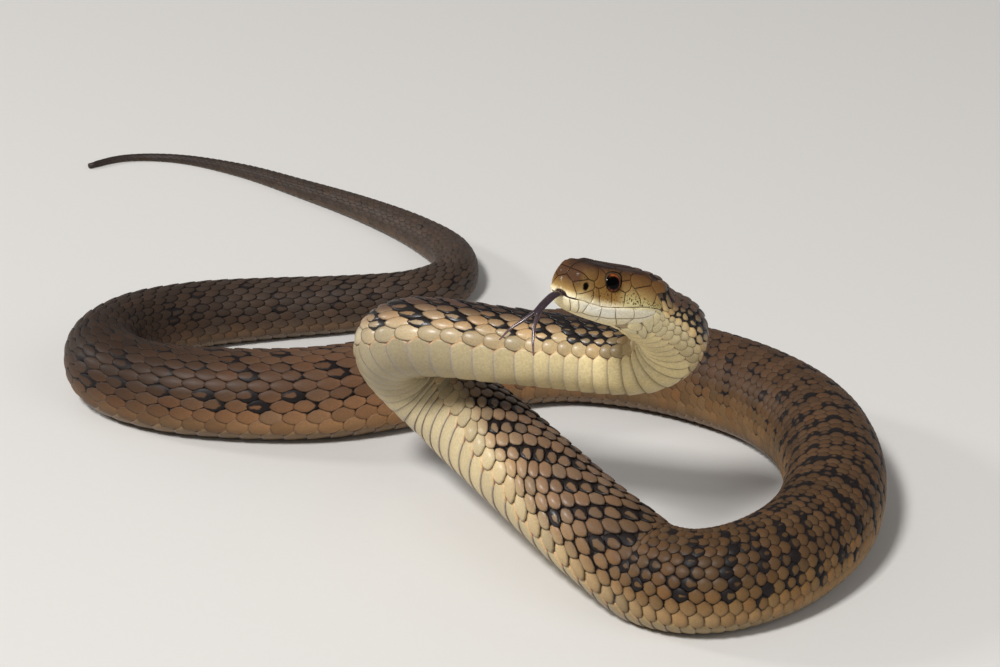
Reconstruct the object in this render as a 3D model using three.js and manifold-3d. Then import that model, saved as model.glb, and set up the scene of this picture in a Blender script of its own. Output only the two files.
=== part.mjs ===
// A tiger snake, life size, at rest in open loops on the floor with its neck raised in an S and its tongue out.
//
// Millimetres, +Z up. The origin is on the floor, under the middle of the model's box. The loops are long in Y and the
// raised head is on the -Y side, looking towards -X and a little towards -Y.
//
// The whole animal is one tube round a backbone, from the snout (0 mm) to the tail tip. The backbone is a smooth curve
// through hand-placed waypoints, and the outline across it comes from widths and heights that are given along it. The
// tube is parted by thin planes into the head and the lengths of neck, torso and tail. The head is then parted along
// the line of the mouth, and gets its eye sockets, its nostrils and the notch that the tongue comes out of.

import * as THREE from "three";
import { mergeVertices } from "three/addons/utils/BufferGeometryUtils.js";
import Module from "manifold-3d";

const wasm = await Module();
wasm.setup();

// ---------------------------------------------------------------- driving sizes

const SEAM = 0.3; // width of the thin cuts between neighbours
const HEAD_LENGTH = 29; // snout to the first cut behind the skull
const NECK_BLEND = [22, 44]; // the head's outline turns into the body's between these
const STRAIGHT_HEAD = 28; // the stretch of backbone that doesn't bend, under the skull
const HEAD_YAW = 45; // degrees that the snout is turned from -X towards -Y
const HEAD_PITCH = 26; // degrees that the snout is raised
const SNOUT = [31.5, -136.1, 85.9]; // tip of the snout

const REST_DROP = 0.84; // height of the backbone over the floor, as a share of the half width
const BELLY_DROP = [0.88, 1]; // depth of the belly below the backbone, as a share of the half width: at rest, and raised
const BACK_RISE = [0.98, 1]; // height of the back over the backbone, in the same way
const BELLY_EDGE = 0.66; // where the belly scutes start, as a share of the way from back to belly
const BACK_POWER = 0.96; // power of the sine and cosine in the outline of the back: 1 is an ellipse, and less is squarer
const BELLY_POWER = [0.8, 0.94]; // the same for the belly: at rest, and raised
const NAPE_DIP = [[28, 1], [37, 0.78], [44, 0.86], [54, 1]]; // share of the back's height, where the neck meets the skull

const SCUTE_PITCH = 4.7; // one belly scute
const SCUTE_STEP = 0.5; // how far a scute's hind edge stands over the next one
const SCUTE_LAP = 0.14; // share of the pitch that the step takes
const SCUTE_RAMP = [-0.06, 0.02]; // the step fades in between these shares of the outline, round the belly's edge
const LAST_SCUTE = 232; // behind this the belly lies on the floor
const FLOOR_RING = 6.6; // distance between outlines along the floor
const SIDES = 22; // corners of the outline across the body
const SLIM_SIDES = 16; // the same on the tail
const SLIM = 6; // the tail is where the half width is less than this

// Waypoints of the backbone behind the skull: [x, y, z, lean]. z null is a stretch that lies on the floor. lean is how
// far the back tips towards +Y, in degrees.
const WAYPOINTS = [
  [52.8, -115, 69.6, 20], // nape
  [56.6, -111.4, 65.8, 36], // bend behind the head
  [58.9, -108, 61, 48],
  [57.6, -105.2, 56, 55],
  [52.8, -103.2, 51.8, 55],
  [44, -101.3, 50.8, 55],
  [30, -97.8, 51, 54], // upper run of the S, nearly level
  [16, -94.3, 51, 53],
  [5.0, -90.9, 51, 54],
  [-4.8, -86.2, 49.2, 55],
  [-9.5, -79.6, 44.2, 55], // bend at the left of the S
  [-9.0, -73.2, 37.8, 53],
  [-4.4, -70.0, 31.0, 50],
  [3, -72.6, 25.4, 44],
  [8.5, -78, 22.8, 38], // column that comes up from the floor
  [16, -88, 20.8, 30],
  [27, -104, 17.8, 20],
  [38.5, -120.5, 14.6, 10],
  [50, -134.5, 11.4, 3], // the belly meets the floor
  [64, -141.5, null, 0],
  [79, -135.5, null, 0], // right-hand coil
  [92, -121, null, 0],
  [99.5, -103, null, 0],
  [102, -82, null, 0],
  [98.5, -60, null, 0],
  [88, -42.5, null, 0],
  [72, -29, null, 0],
  [55, -20.5, null, 0],
  [35, -16.5, null, 0], // long run behind the column
  [14, -21, null, 0],
  [-9, -32, null, 0],
  [-31, -39, null, 0],
  [-53, -39, null, 0],
  [-73, -34.5, null, 0],
  [-87, -24.5, null, 0], // left-hand bend
  [-91.8, -9.5, null, 0],
  [-85.5, 5.5, null, 0],
  [-69.5, 16, null, 0],
  [-48, 22, null, 0],
  [-26, 26.5, null, 0],
  [-7, 33, null, 0], // last bend before the vent
  [3, 46, null, 0],
  [3, 65, null, 0],
  [-7.5, 84.5, null, 0],
  [-25, 105, null, 0], // tail
  [-45, 123.5, null, 0],
  [-66, 141, null, 0],
  [-88, 152.5, null, 0],
  [-105, 153, null, 0],
  [-115, 146.5, null, 0], // tail tip
];

// Half width of the body: [distance from the snout, half width].
const GIRTH = [
  [27, 7.9], [36, 8.1], [50, 8.6], [65, 8.8], [90, 9.2], [115, 9.6], [130, 9.8], [145, 10.4], [160, 11.4], [175, 12.0],
  [215, 12.2], [290, 12.8], [450, 13.0], [530, 12.3], [570, 11.3], [605, 10.1], [650, 8.7], [690, 7.5], [730, 5.6],
  [780, 3.6], [820, 2.3], [850, 1.4], [880, 1.0],
];

// The head's outline across it is a smooth line through these, each given along the head from the snout:
// half width and height over the backbone, with the left side as the right.
const CROWN = [[0, 1.4], [0.5, 3.6], [1.5, 5.0], [3.5, 6.0], [7, 6.3], [12, 6.5], [18, 6.9], [24, 7.3], [29, 7.4], [34, 6.4]];
const BROW_WIDTH = [[0, 0.8], [0.5, 2.4], [1.5, 3.4], [3.5, 4.1], [7, 4.5], [11, 5.7], [15, 5.8], [20, 6.0], [30, 5.4]];
const BROW_FALL = [[0, 0.4], [3, 0.8], [7, 0.75], [11, 0.3], [15, 0.6], [20, 1.0], [30, 1.6]]; // below the crown
const CHEEK_WIDTH = [[0, 1.0], [0.5, 3.1], [1.5, 4.5], [3.5, 5.4], [7, 6.0], [11, 6.4], [15, 7.5], [20, 8.6], [24, 9.0], [30, 8.4]];
const CHEEK_HEIGHT = [[0, 0.7], [3, 2.0], [11, 2.1], [20, 1.7], [30, 0.6]];
const LIP_WIDTH = [[0, 0.9], [0.5, 2.7], [1.5, 4.3], [3.5, 5.4], [7, 6.4], [11, 7.3], [15, 8.2], [20, 9.1], [24, 9.2], [30, 8.5]];
const MOUTH_HEIGHT = [[0, -1.7], [4, -2.2], [10, -2.1], [17, -1.2], [22, -0.5], [25, -0.4], [30, -1.4]];
const JAW_WIDTH = [[0, 0.6], [0.5, 2.0], [1.5, 3.5], [3.5, 4.8], [7, 5.9], [11, 6.8], [15, 7.7], [20, 8.6], [24, 8.6], [30, 8.1]];
const CHIN = [[0, -2.1], [0.5, -3.0], [1.5, -4.2], [3.5, -5.3], [7, -6.1], [12, -6.5], [18, -6.8], [24, -7.2], [30, -7.4]];

const EYE_AT = { along: 10.4, side: 4.75, up: 3.35 };
const EYE_RADIUS = 2.6;
const NOSTRIL_AT = { along: 3.4, side: 4.9, up: 1.9 };
const NOSTRIL_RADIUS = 0.6;
const NOSTRIL_TALL = 1.35; // height of the nostril over its width
const MOUTH_CORNER = 23.5; // the cut of the mouth turns down here
const JAW_END = [[1.2, -1.3], [2.2, -4], [2.6, -12]]; // the cut behind the corner: [behind the corner, up]

// ---------------------------------------------------------------- small helpers

const radians = THREE.MathUtils.degToRad;

// Smooth value at x along a list of [x, value], flat past its ends.
function along(stations, x) {
  const last = stations.length - 1;
  if (x <= stations[0][0]) return stations[0][1];
  if (x >= stations[last][0]) return stations[last][1];
  let i = 0;
  while (x > stations[i + 1][0]) i++;
  const slope = (k) => {
    const a = Math.max(k - 1, 0);
    const b = Math.min(k + 1, last);
    return (stations[b][1] - stations[a][1]) / (stations[b][0] - stations[a][0]);
  };
  const span = stations[i + 1][0] - stations[i][0];
  const t = (x - stations[i][0]) / span;
  const t2 = t * t;
  const t3 = t2 * t;
  return (
    (2 * t3 - 3 * t2 + 1) * stations[i][1] +
    (t3 - 2 * t2 + t) * span * slope(i) +
    (3 * t2 - 2 * t3) * stations[i + 1][1] +
    (t3 - t2) * span * slope(i + 1)
  );
}

function smoothstep(low, high, x) {
  const t = Math.min(Math.max((x - low) / (high - low), 0), 1);
  return t * t * (3 - 2 * t);
}

// ---------------------------------------------------------------- backbone

const headForward = new THREE.Vector3(
  -Math.cos(radians(HEAD_YAW)) * Math.cos(radians(HEAD_PITCH)),
  -Math.sin(radians(HEAD_YAW)) * Math.cos(radians(HEAD_PITCH)),
  Math.sin(radians(HEAD_PITCH)),
);
const snout = new THREE.Vector3(...SNOUT);

// The path is sampled every millimetre from the snout. Each sample has its place and how far its back leans.
const STEP = 1;
const SPAN_SAMPLES = 60; // points on the curve between two waypoints
const SMOOTHING_PASSES = 12;
const samples = tracePath();
const TOTAL_LENGTH = (samples.length - 1) * STEP;

function tracePath() {
  const skullEnd = snout.clone().addScaledVector(headForward, -STRAIGHT_HEAD);
  const lead = snout.clone().addScaledVector(headForward, 6 - STRAIGHT_HEAD);
  const points = [lead, skullEnd, ...WAYPOINTS.map(([x, y, z]) => new THREE.Vector3(x, y, z ?? 0))];
  const leans = [0, 0, ...WAYPOINTS.map((w) => w[3])];
  const raised = [1, 1, ...WAYPOINTS.map((w) => (w[2] === null ? 0 : 1))];
  const curve = new THREE.CatmullRomCurve3(points, false, "centripetal");
  const dense = [];
  for (let i = 1; i < points.length - 1; i++)
    for (let k = 0; k < SPAN_SAMPLES; k++) {
      const f = k / SPAN_SAMPLES;
      const t = (i + f) / (points.length - 1);
      dense.push({
        place: curve.getPoint(t),
        lean: THREE.MathUtils.lerp(leans[i], leans[i + 1], f),
        raised: THREE.MathUtils.lerp(raised[i], raised[i + 1], f),
      });
    }
  dense.push({ place: curve.getPoint(1), lean: 0, raised: 0 });

  const made = [];
  for (let s = 0; s < STRAIGHT_HEAD; s += STEP)
    made.push({ place: snout.clone().addScaledVector(headForward, -s), lean: 0, raised: 1 });
  let walked = STRAIGHT_HEAD;
  let next = STRAIGHT_HEAD;
  for (let i = 1; i < dense.length; i++) {
    const a = dense[i - 1];
    const b = dense[i];
    const length = a.place.distanceTo(b.place);
    while (next <= walked + length) {
      const f = (next - walked) / length;
      const place = a.place.clone().lerp(b.place, f);
      const up = THREE.MathUtils.lerp(a.raised, b.raised, f);
      const floor = REST_DROP * along(GIRTH, next);
      place.z = Math.max(THREE.MathUtils.lerp(floor, place.z, up), floor);
      made.push({ place, lean: THREE.MathUtils.lerp(a.lean, b.lean, f), raised: up });
      next += STEP;
    }
    walked += length;
  }
  for (let pass = 0; pass < SMOOTHING_PASSES; pass++) evenOut(made);
  return made;
}

// Takes out the small jumps of curvature at the waypoints, without moving the skull.
function evenOut(list) {
  const before = list.map((p) => ({ place: p.place.clone(), lean: p.lean }));
  for (let i = STRAIGHT_HEAD - 2; i < list.length - 1; i++) {
    list[i].place.copy(before[i].place).multiplyScalar(2).add(before[i - 1].place).add(before[i + 1].place).divideScalar(4);
    list[i].lean = (before[i - 1].lean + 2 * before[i].lean + before[i + 1].lean) / 4;
  }
}

// Place, direction towards the tail, back and left side at a distance from the snout.
function frameAt(s) {
  const i = Math.min(Math.floor(s / STEP), samples.length - 2);
  const f = s / STEP - i;
  const place = samples[i].place.clone().lerp(samples[i + 1].place, f);
  const before = samples[Math.max(i - 1, 0)].place;
  const after = samples[Math.min(i + 2, samples.length - 1)].place;
  const near = samples[i + 1].place.clone().sub(before).normalize();
  const far = after.clone().sub(samples[i].place).normalize();
  const tailward = near.lerp(far, f).normalize();
  const lean = radians(THREE.MathUtils.lerp(samples[i].lean, samples[i + 1].lean, f));
  const back = new THREE.Vector3(0, Math.sin(lean), Math.cos(lean));
  back.addScaledVector(tailward, -back.dot(tailward)).normalize();
  const left = tailward.clone().cross(back).normalize();
  return { place, tailward, back, left };
}

// ---------------------------------------------------------------- outline across the body

// [side, up] of the body's outline at share u of the way from the back (0) to the belly (1).
function bodyOutline(s, u) {
  const half = along(GIRTH, s);
  const { raised } = samples[Math.min(Math.round(s / STEP), samples.length - 1)];
  const angle = Math.PI * u;
  const power = THREE.MathUtils.lerp(...BELLY_POWER, raised);
  const side = half * Math.pow(Math.abs(Math.sin(angle)), u < 0.5 ? BACK_POWER : power);
  const c = Math.cos(angle);
  const rise = half * THREE.MathUtils.lerp(...BACK_RISE, raised) * along(NAPE_DIP, s);
  const drop = half * THREE.MathUtils.lerp(...BELLY_DROP, raised);
  return [side, c >= 0 ? rise * Math.pow(c, BACK_POWER) : -drop * Math.pow(-c, power)];
}

// The head's own outline, as a smooth line through its named widths and heights.
function headOutline(s, u) {
  const crown = along(CROWN, s);
  const mouth = along(MOUTH_HEIGHT, s);
  const chin = along(CHIN, s);
  const brow = along(BROW_WIDTH, s);
  const lip = along(LIP_WIDTH, s);
  const jaw = along(JAW_WIDTH, s);
  const browHeight = crown - along(BROW_FALL, s);
  const sideways = [
    [0, 0], [0.16, brow * 0.62], [0.3, brow], [0.42, along(CHEEK_WIDTH, s)], [0.56, lip],
    [0.64, jaw], [0.82, jaw * 0.66], [1, 0],
  ];
  const upward = [
    [0, crown], [0.16, crown - 0.12], [0.3, browHeight], [0.42, along(CHEEK_HEIGHT, s)], [0.56, mouth + 0.3],
    [0.64, mouth - 0.9], [0.82, chin + (mouth - chin) * 0.12], [1, chin],
  ];
  return [Math.max(along(sideways, u), 0), along(upward, u)];
}

function outline(s, u) {
  const neck = smoothstep(...NECK_BLEND, s);
  const [bodySide, bodyUp] = bodyOutline(s, u);
  if (neck === 1) return [bodySide, bodyUp];
  const [headSide, headUp] = headOutline(s, u);
  return [
    THREE.MathUtils.lerp(headSide, bodySide, neck),
    THREE.MathUtils.lerp(headUp, bodyUp, neck),
  ];
}

// Ring of points round the backbone. sunk pulls the belly in, for the front edge of a scute.
function ring(s, sides, sunk = 0) {
  const { place, back, left } = frameAt(s);
  const points = [];
  for (let i = 0; i < sides; i++) {
    const turn = i / sides;
    const u = turn <= 0.5 ? 2 * turn : 2 - 2 * turn;
    let [side, up] = outline(s, u);
    const pull = 1 - (sunk * smoothstep(BELLY_EDGE + SCUTE_RAMP[0], BELLY_EDGE + SCUTE_RAMP[1], u)) / Math.hypot(side, up);
    side *= pull;
    up *= pull;
    const p = place.clone().addScaledVector(left, turn <= 0.5 ? side : -side).addScaledVector(back, up);
    p.z = Math.max(p.z, 0);
    points.push(p);
  }
  return points;
}

// ---------------------------------------------------------------- closed shapes

// Closed geometry through rings of equal count, with a fan at each end.
function loft(rings) {
  const count = rings[0].length;
  const positions = rings.flat().flatMap((p) => p.toArray());
  const faces = [];
  for (let r = 0; r < rings.length - 1; r++)
    for (let i = 0; i < count; i++) {
      const a = r * count + i;
      const b = r * count + ((i + 1) % count);
      faces.push(a, b, a + count, b, b + count, a + count);
    }
  for (const [r, flip] of [[0, false], [rings.length - 1, true]]) {
    const centre = rings[r].reduce((sum, p) => sum.add(p), new THREE.Vector3()).divideScalar(count);
    const hub = positions.length / 3;
    positions.push(...centre.toArray());
    for (let i = 0; i < count; i++) {
      const a = r * count + i;
      const b = r * count + ((i + 1) % count);
      faces.push(...(flip ? [hub, a, b] : [hub, b, a]));
    }
  }
  const geometry = new THREE.BufferGeometry();
  geometry.setAttribute("position", new THREE.Float32BufferAttribute(positions, 3));
  geometry.setIndex(faces);
  return geometry;
}

function toSolid(geometry) {
  const bare = geometry.clone();
  bare.deleteAttribute("normal");
  bare.deleteAttribute("uv");
  const merged = mergeVertices(bare, 1e-4);
  return new wasm.Manifold(
    new wasm.Mesh({
      numProp: 3,
      vertProperties: new Float32Array(merged.attributes.position.array),
      triVerts: new Uint32Array(merged.index.array),
    }),
  );
}

function toGeometry(solid) {
  const mesh = solid.getMesh();
  const geometry = new THREE.BufferGeometry();
  geometry.setAttribute("position", new THREE.Float32BufferAttribute(Array.from(mesh.vertProperties), 3));
  geometry.setIndex(Array.from(mesh.triVerts));
  geometry.computeVertexNormals();
  return geometry;
}

// ---------------------------------------------------------------- materials

const finish = (color, roughness) => new THREE.MeshStandardMaterial({ color, roughness, metalness: 0 });
const SKIN = finish(0x7a5a3c, 0.5);
const HEAD_SKIN = finish(0x84633c, 0.42);
const JAW_SKIN = finish(0xe0d5ac, 0.45);
const NECK_SKIN = finish(0xb59a68, 0.48);
const EYE = finish(0x2a120a, 0.08);
const TONGUE = finish(0x2b1d2a, 0.4);

const snake = new THREE.Group();
snake.name = "tiger_snake";

function addNode(name, geometry, material) {
  const mesh = new THREE.Mesh(geometry, material);
  mesh.name = name;
  snake.add(mesh);
}

// ---------------------------------------------------------------- neck, torso and tail

// Each length: [node, where it starts, material]. A length ends where the next one starts.
const LENGTHS = [
  ["neck_nape", HEAD_LENGTH, NECK_SKIN],
  ["neck_head_bend", 40, NECK_SKIN],
  ["neck_run", 62, NECK_SKIN],
  ["neck_left_bend", 103, NECK_SKIN],
  ["torso_column_top", 127, NECK_SKIN],
  ["torso_column_foot", 168, NECK_SKIN],
  ["torso_front_coil", LAST_SCUTE, SKIN],
  ["torso_right_coil", 288, SKIN],
  ["torso_back_coil", 344, SKIN],
  ["torso_long_run", 404, SKIN],
  ["torso_front_left", 468, SKIN],
  ["torso_left_bend", 525, SKIN],
  ["torso_back_left", 572, SKIN],
  ["torso_vent", 632, SKIN],
  ["tail_bend", 690, SKIN],
  ["tail_middle", 748, SKIN],
  ["tail_tip", 806, SKIN],
];

// Where the rings go on a length with belly scutes: two to a scute, the first sunk.
function scuteRings(from, to) {
  const count = Math.round((to - from) / SCUTE_PITCH);
  const pitch = (to - from) / count;
  const rings = [];
  for (let i = 0; i < count; i++) {
    const start = from + i * pitch;
    rings.push(ring(start + (i ? pitch * SCUTE_LAP : 0), SIDES, SCUTE_STEP));
    rings.push(ring(start + pitch, SIDES, 0));
  }
  return rings;
}

function plainRings(from, to) {
  const slim = along(GIRTH, (from + to) / 2) < SLIM;
  const count = Math.ceil((to - from) / FLOOR_RING);
  const sides = slim ? SLIM_SIDES : SIDES;
  return Array.from({ length: count + 1 }, (_, i) => ring(from + ((to - from) * i) / count, sides));
}

LENGTHS.forEach(([name, start, material], i) => {
  const tip = i === LENGTHS.length - 1;
  const from = start + SEAM / 2;
  const to = tip ? TOTAL_LENGTH - 0.5 : LENGTHS[i + 1][1] - SEAM / 2;
  const rings = start < LAST_SCUTE ? scuteRings(from, to) : plainRings(from, to);
  addNode(name, loft(rings), material);
});

// ---------------------------------------------------------------- head

const headFrame = frameAt(0);

// Turns a solid that was built with x behind the snout, y to the animal's right and z up into place.
function placedInHead(solid) {
  const right = headFrame.left.clone().negate();
  const matrix = new THREE.Matrix4().makeBasis(headFrame.tailward, right, headFrame.back).setPosition(snout);
  const geometry = toGeometry(solid).applyMatrix4(matrix);
  return toSolid(geometry);
}

function ball(radius, behind, right, up, segments) {
  const geometry = new THREE.SphereGeometry(radius, segments, Math.round(segments * 0.7));
  geometry.translate(behind, right, up);
  return toSolid(geometry);
}

const HEAD_SIDES = 36;
const HEAD_RINGS = [0.04, 0.3, 0.8, 1.5, 2.5, 3.7, 5, 6.5, 8, 9.3, 10.5, 11.7, 13, 14.6, 16.5, 18.5, 20.5, 22.5, 24.5, 26.5];
const wholeHead = toSolid(
  loft([...HEAD_RINGS, HEAD_LENGTH - SEAM / 2].map((s) => ring(s, HEAD_SIDES))),
);

// Thin sheet that parts the jaws: it follows the mouth from the snout to its corner, and then turns down to the throat.
function mouthCut() {
  const line = [];
  const ahead = 2;
  const step = 1.5;
  for (let s = -ahead; s <= MOUTH_CORNER; s += step) line.push([s, along(MOUTH_HEIGHT, s)]);
  for (const [behind, up] of JAW_END) line.push([MOUTH_CORNER + behind, up]);
  const shape = new THREE.Shape();
  const offset = (i, away) => {
    const a = line[Math.max(i - 1, 0)];
    const b = line[Math.min(i + 1, line.length - 1)];
    const length = Math.hypot(b[0] - a[0], b[1] - a[1]);
    return [line[i][0] - (away * (b[1] - a[1])) / length, line[i][1] + (away * (b[0] - a[0])) / length];
  };
  line.forEach((_, i) => (i ? shape.lineTo(...offset(i, SEAM / 2)) : shape.moveTo(...offset(i, SEAM / 2))));
  for (let i = line.length - 1; i >= 0; i--) shape.lineTo(...offset(i, -SEAM / 2));
  shape.closePath();
  const width = 30;
  const geometry = new THREE.ExtrudeGeometry(shape, { depth: width, bevelEnabled: false });
  geometry.rotateX(Math.PI / 2); // the shape's height becomes up, and its depth runs across the head
  geometry.translate(0, width / 2, 0);
  return toSolid(geometry);
}

// ---------------------------------------------------------------- tongue

// [behind the snout, up] along the stem, which lies in the middle.
const TONGUE_LINE = [[3.2, -1.9], [1.0, -2.0], [-1.6, -2.7], [-4.2, -5.3], [-6.2, -8.3]];
const TONGUE_WIDTH = [[0, 1.3], [0.3, 1.9], [1, 1.7]];
const TONGUE_THICK = 0.95;
const TONGUE_SIDES = 10;
const TINE_WIDTH = [1.0, 0.35]; // at the fork and at the tip
const TINE_THICK = [0.8, 0.35];
// [behind the snout, to the right, up] along each tine of the fork.
const TINES = [
  [[-5.6, 0.4, -7.4], [-7.6, 1.7, -10.4], [-9.4, 3.2, -13.4], [-10.2, 4.3, -16.2]],
  [[-5.6, -0.4, -7.4], [-7.0, -1.7, -10.8], [-7.6, -3.2, -14.0], [-7.7, -4.7, -16.8]],
];

function flatTube(curve, count, widthAt, thickAt) {
  const rings = [];
  for (let i = 0; i <= count; i++) {
    const t = i / count;
    const centre = curve.getPoint(t);
    const ahead = curve.getTangent(t);
    const across = new THREE.Vector3(0, 1, 0).addScaledVector(ahead, -ahead.y).normalize();
    const over = ahead.clone().cross(across).normalize();
    rings.push(
      Array.from({ length: TONGUE_SIDES }, (_, k) => {
        const angle = (2 * Math.PI * k) / TONGUE_SIDES;
        return centre
          .clone()
          .addScaledVector(across, (Math.cos(angle) * widthAt(t)) / 2)
          .addScaledVector(over, (Math.sin(angle) * thickAt(t)) / 2);
      }),
    );
  }
  return toSolid(loft(rings));
}

function makeTongue(grow) {
  const stemLine = new THREE.CatmullRomCurve3(TONGUE_LINE.map(([behind, up]) => new THREE.Vector3(behind, 0, up)));
  let solid = flatTube(stemLine, 12, (t) => along(TONGUE_WIDTH, t) + grow, () => TONGUE_THICK + grow);
  if (grow) return solid;
  for (const line of TINES) {
    const curve = new THREE.CatmullRomCurve3(line.map((p) => new THREE.Vector3(...p)));
    const taper = (sizes) => (t) => THREE.MathUtils.lerp(...sizes, t);
    solid = solid.add(flatTube(curve, 9, taper(TINE_WIDTH), taper(TINE_THICK)));
  }
  return solid;
}

// ---------------------------------------------------------------- cutting the head

let cutHead = wholeHead.subtract(placedInHead(mouthCut()));
for (const side of [-1, 1]) {
  const { along: behind, side: out, up } = EYE_AT;
  cutHead = cutHead.subtract(placedInHead(ball(EYE_RADIUS + SEAM, behind, side * out, up, 20)));
  const nostril = new THREE.SphereGeometry(NOSTRIL_RADIUS, 10, 7);
  nostril.scale(1, 1, NOSTRIL_TALL).translate(NOSTRIL_AT.along, side * NOSTRIL_AT.side, NOSTRIL_AT.up);
  cutHead = cutHead.subtract(placedInHead(toSolid(nostril)));
  addNode(side > 0 ? "eye_right" : "eye_left", toGeometry(placedInHead(ball(EYE_RADIUS, behind, side * out, up, 18))), EYE);
}
cutHead = cutHead.subtract(placedInHead(makeTongue(2 * SEAM)));

const jaws = cutHead.decompose().sort((a, b) => b.volume() - a.volume());
addNode("head", toGeometry(jaws[0]), HEAD_SKIN);
addNode("lower_jaw", toGeometry(jaws[1]), JAW_SKIN);
addNode("tongue", toGeometry(placedInHead(makeTongue(0))), TONGUE);

export default snake;
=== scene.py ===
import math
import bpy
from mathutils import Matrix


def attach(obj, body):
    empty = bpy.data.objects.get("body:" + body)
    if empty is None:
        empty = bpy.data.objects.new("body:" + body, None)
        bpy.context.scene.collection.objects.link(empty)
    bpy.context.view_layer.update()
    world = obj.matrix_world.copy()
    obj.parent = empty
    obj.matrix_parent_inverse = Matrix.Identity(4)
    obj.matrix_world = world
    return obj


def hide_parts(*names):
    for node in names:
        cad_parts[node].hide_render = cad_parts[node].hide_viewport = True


bl_info = {
    "name": "Coiled snake",
    "version": (1, 0, 0),
    "blender": (4, 5, 0),
    "location": "View3D > Sidebar > Snake",
    "description": "Builds a life-size still model of a coiled snake, scale by scale",
    "category": "Object",
}

import bmesh
import bpy
import numpy as np
from bpy.props import FloatProperty, FloatVectorProperty, PointerProperty
from mathutils import Matrix, Vector
from mathutils.bvhtree import BVHTree

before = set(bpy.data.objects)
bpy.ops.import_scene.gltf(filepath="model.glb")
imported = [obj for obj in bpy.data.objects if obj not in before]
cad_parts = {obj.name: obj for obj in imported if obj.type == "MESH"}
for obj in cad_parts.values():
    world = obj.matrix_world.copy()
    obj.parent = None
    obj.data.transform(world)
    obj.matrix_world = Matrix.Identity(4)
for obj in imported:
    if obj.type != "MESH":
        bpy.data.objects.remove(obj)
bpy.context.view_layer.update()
# The nodes of the CAD model that the skin stands for.
FLESH = [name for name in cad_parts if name.startswith(("neck", "torso", "tail", "head", "lower"))]
MM = 0.001

# ---------------------------------------------------------------- the animal's shape, in millimetres

# The tip of the snout, the head's turn and rise in degrees, its length, and that of its straight backbone.
SNOUT = (31.5, -136.1, 85.9)
HEAD_YAW = 45
HEAD_PITCH = 26
HEAD_LENGTH = 29
STRAIGHT_HEAD = 28
# The head's outline turns into the body's from this far before the end of the head to this far behind it.
HEAD_BLEND = (7, 15)
# Height of a backbone that lies, drop of the belly and rise of the back, as shares of the body's half width,
# and the powers that round them off. A pair holds the value where the body lies and where it is raised.
REST_DROP = 0.84
BELLY_DROP = (0.88, 1)
BACK_RISE = (0.98, 1)
BACK_POWER = 0.96
BELLY_POWER = (0.8, 0.94)
# Share of the way round the body, 0 on the back and 1 on the belly, at which the belly's plates begin.
BELLY_EDGE = 0.66
# Least height of any point over the floor.
FLOOR_GAP = 0.02
# Points of the backbone: x, y, z and lean in degrees where it is raised, and only x and y where it lies.
WAYPOINTS = [
    (52.8, -115, 69.6, 20), (56.6, -111.4, 65.8, 36), (58.9, -108, 61, 48), (57.6, -105.2, 56, 55),
    (52.8, -103.2, 51.8, 55), (44, -101.3, 50.8, 55), (30, -97.8, 51, 54), (16, -94.3, 51, 53),
    (5.0, -90.9, 51, 54), (-4.8, -86.2, 49.2, 55), (-9.5, -79.6, 44.2, 55), (-9.0, -73.2, 37.8, 53),
    (-4.4, -70.0, 31.0, 50), (3, -72.6, 25.4, 44), (8.5, -78, 22.8, 38), (16, -88, 20.8, 30),
    (27, -104, 17.8, 20), (38.5, -120.5, 14.6, 10), (50, -134.5, 11.4, 3),
    (64, -141.5), (79, -135.5), (92, -121), (99.5, -103), (102, -82), (98.5, -60), (88, -42.5), (72, -29),
    (55, -20.5), (35, -16.5), (14, -21), (-9, -32), (-31, -39), (-53, -39), (-73, -34.5), (-87, -24.5),
    (-91.8, -9.5), (-85.5, 5.5), (-69.5, 16), (-48, 22), (-26, 26.5), (-7, 33), (3, 46), (3, 65),
    (-7.5, 84.5), (-25, 105), (-45, 123.5), (-66, 141), (-88, 152.5), (-105, 153), (-115, 146.5),
]
# Samples between two of those points, rounds of smoothing, and length of the straight lead into the first.
SPAN_SAMPLES = 60
SMOOTHING_ROUNDS = 12
LEAD_IN = 6
# Each of these tables gives a value by millimetres from the snout. First, half of the body's width:
GIRTH = [
    (27, 7.9), (36, 8.1), (50, 8.6), (65, 8.8), (90, 9.2), (115, 9.6), (130, 9.8), (145, 10.4), (160, 11.4),
    (175, 12.0), (215, 12.2), (290, 12.8), (450, 13.0), (530, 12.3), (570, 11.3), (605, 10.1), (650, 8.7),
    (690, 7.5), (730, 5.6), (780, 3.6), (820, 2.3), (850, 1.4), (880, 1.0),
]
# The share of its rise that the nape keeps behind the head.
NAPE_DIP = [(28, 1), (37, 0.78), (44, 0.86), (54, 1)]
# The head's outline, from crown to chin: heights over its middle line, half widths, and the fall to the brow.
CROWN = [
    (0, 1.4), (0.5, 3.6), (1.5, 5.0), (3.5, 6.0), (7, 6.3), (12, 6.5), (18, 6.9), (24, 7.3), (29, 7.4),
    (34, 6.4),
]
BROW_WIDTH = [
    (0, .8), (.5, 2.4), (1.5, 3.4), (3.5, 4.1), (7, 4.5), (11, 5.7), (15, 5.8), (20, 6.0), (30, 5.4),
]
BROW_FALL = [(0, .4), (3, .8), (7, .75), (11, .3), (15, .6), (20, 1.0), (30, 1.6)]
CHEEK_WIDTH = [
    (0, 1.0), (.5, 3.1), (1.5, 4.5), (3.5, 5.4), (7, 6.0), (11, 6.4), (15, 7.5), (20, 8.6), (24, 9.0),
    (30, 8.4),
]
CHEEK_HEIGHT = [(0, .7), (3, 2.0), (11, 2.1), (20, 1.7), (30, .6)]
LIP_WIDTH = [
    (0, .9), (.5, 2.7), (1.5, 4.3), (3.5, 5.4), (7, 6.4), (11, 7.3), (15, 8.2), (20, 9.1), (24, 9.2),
    (30, 8.5),
]
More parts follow.
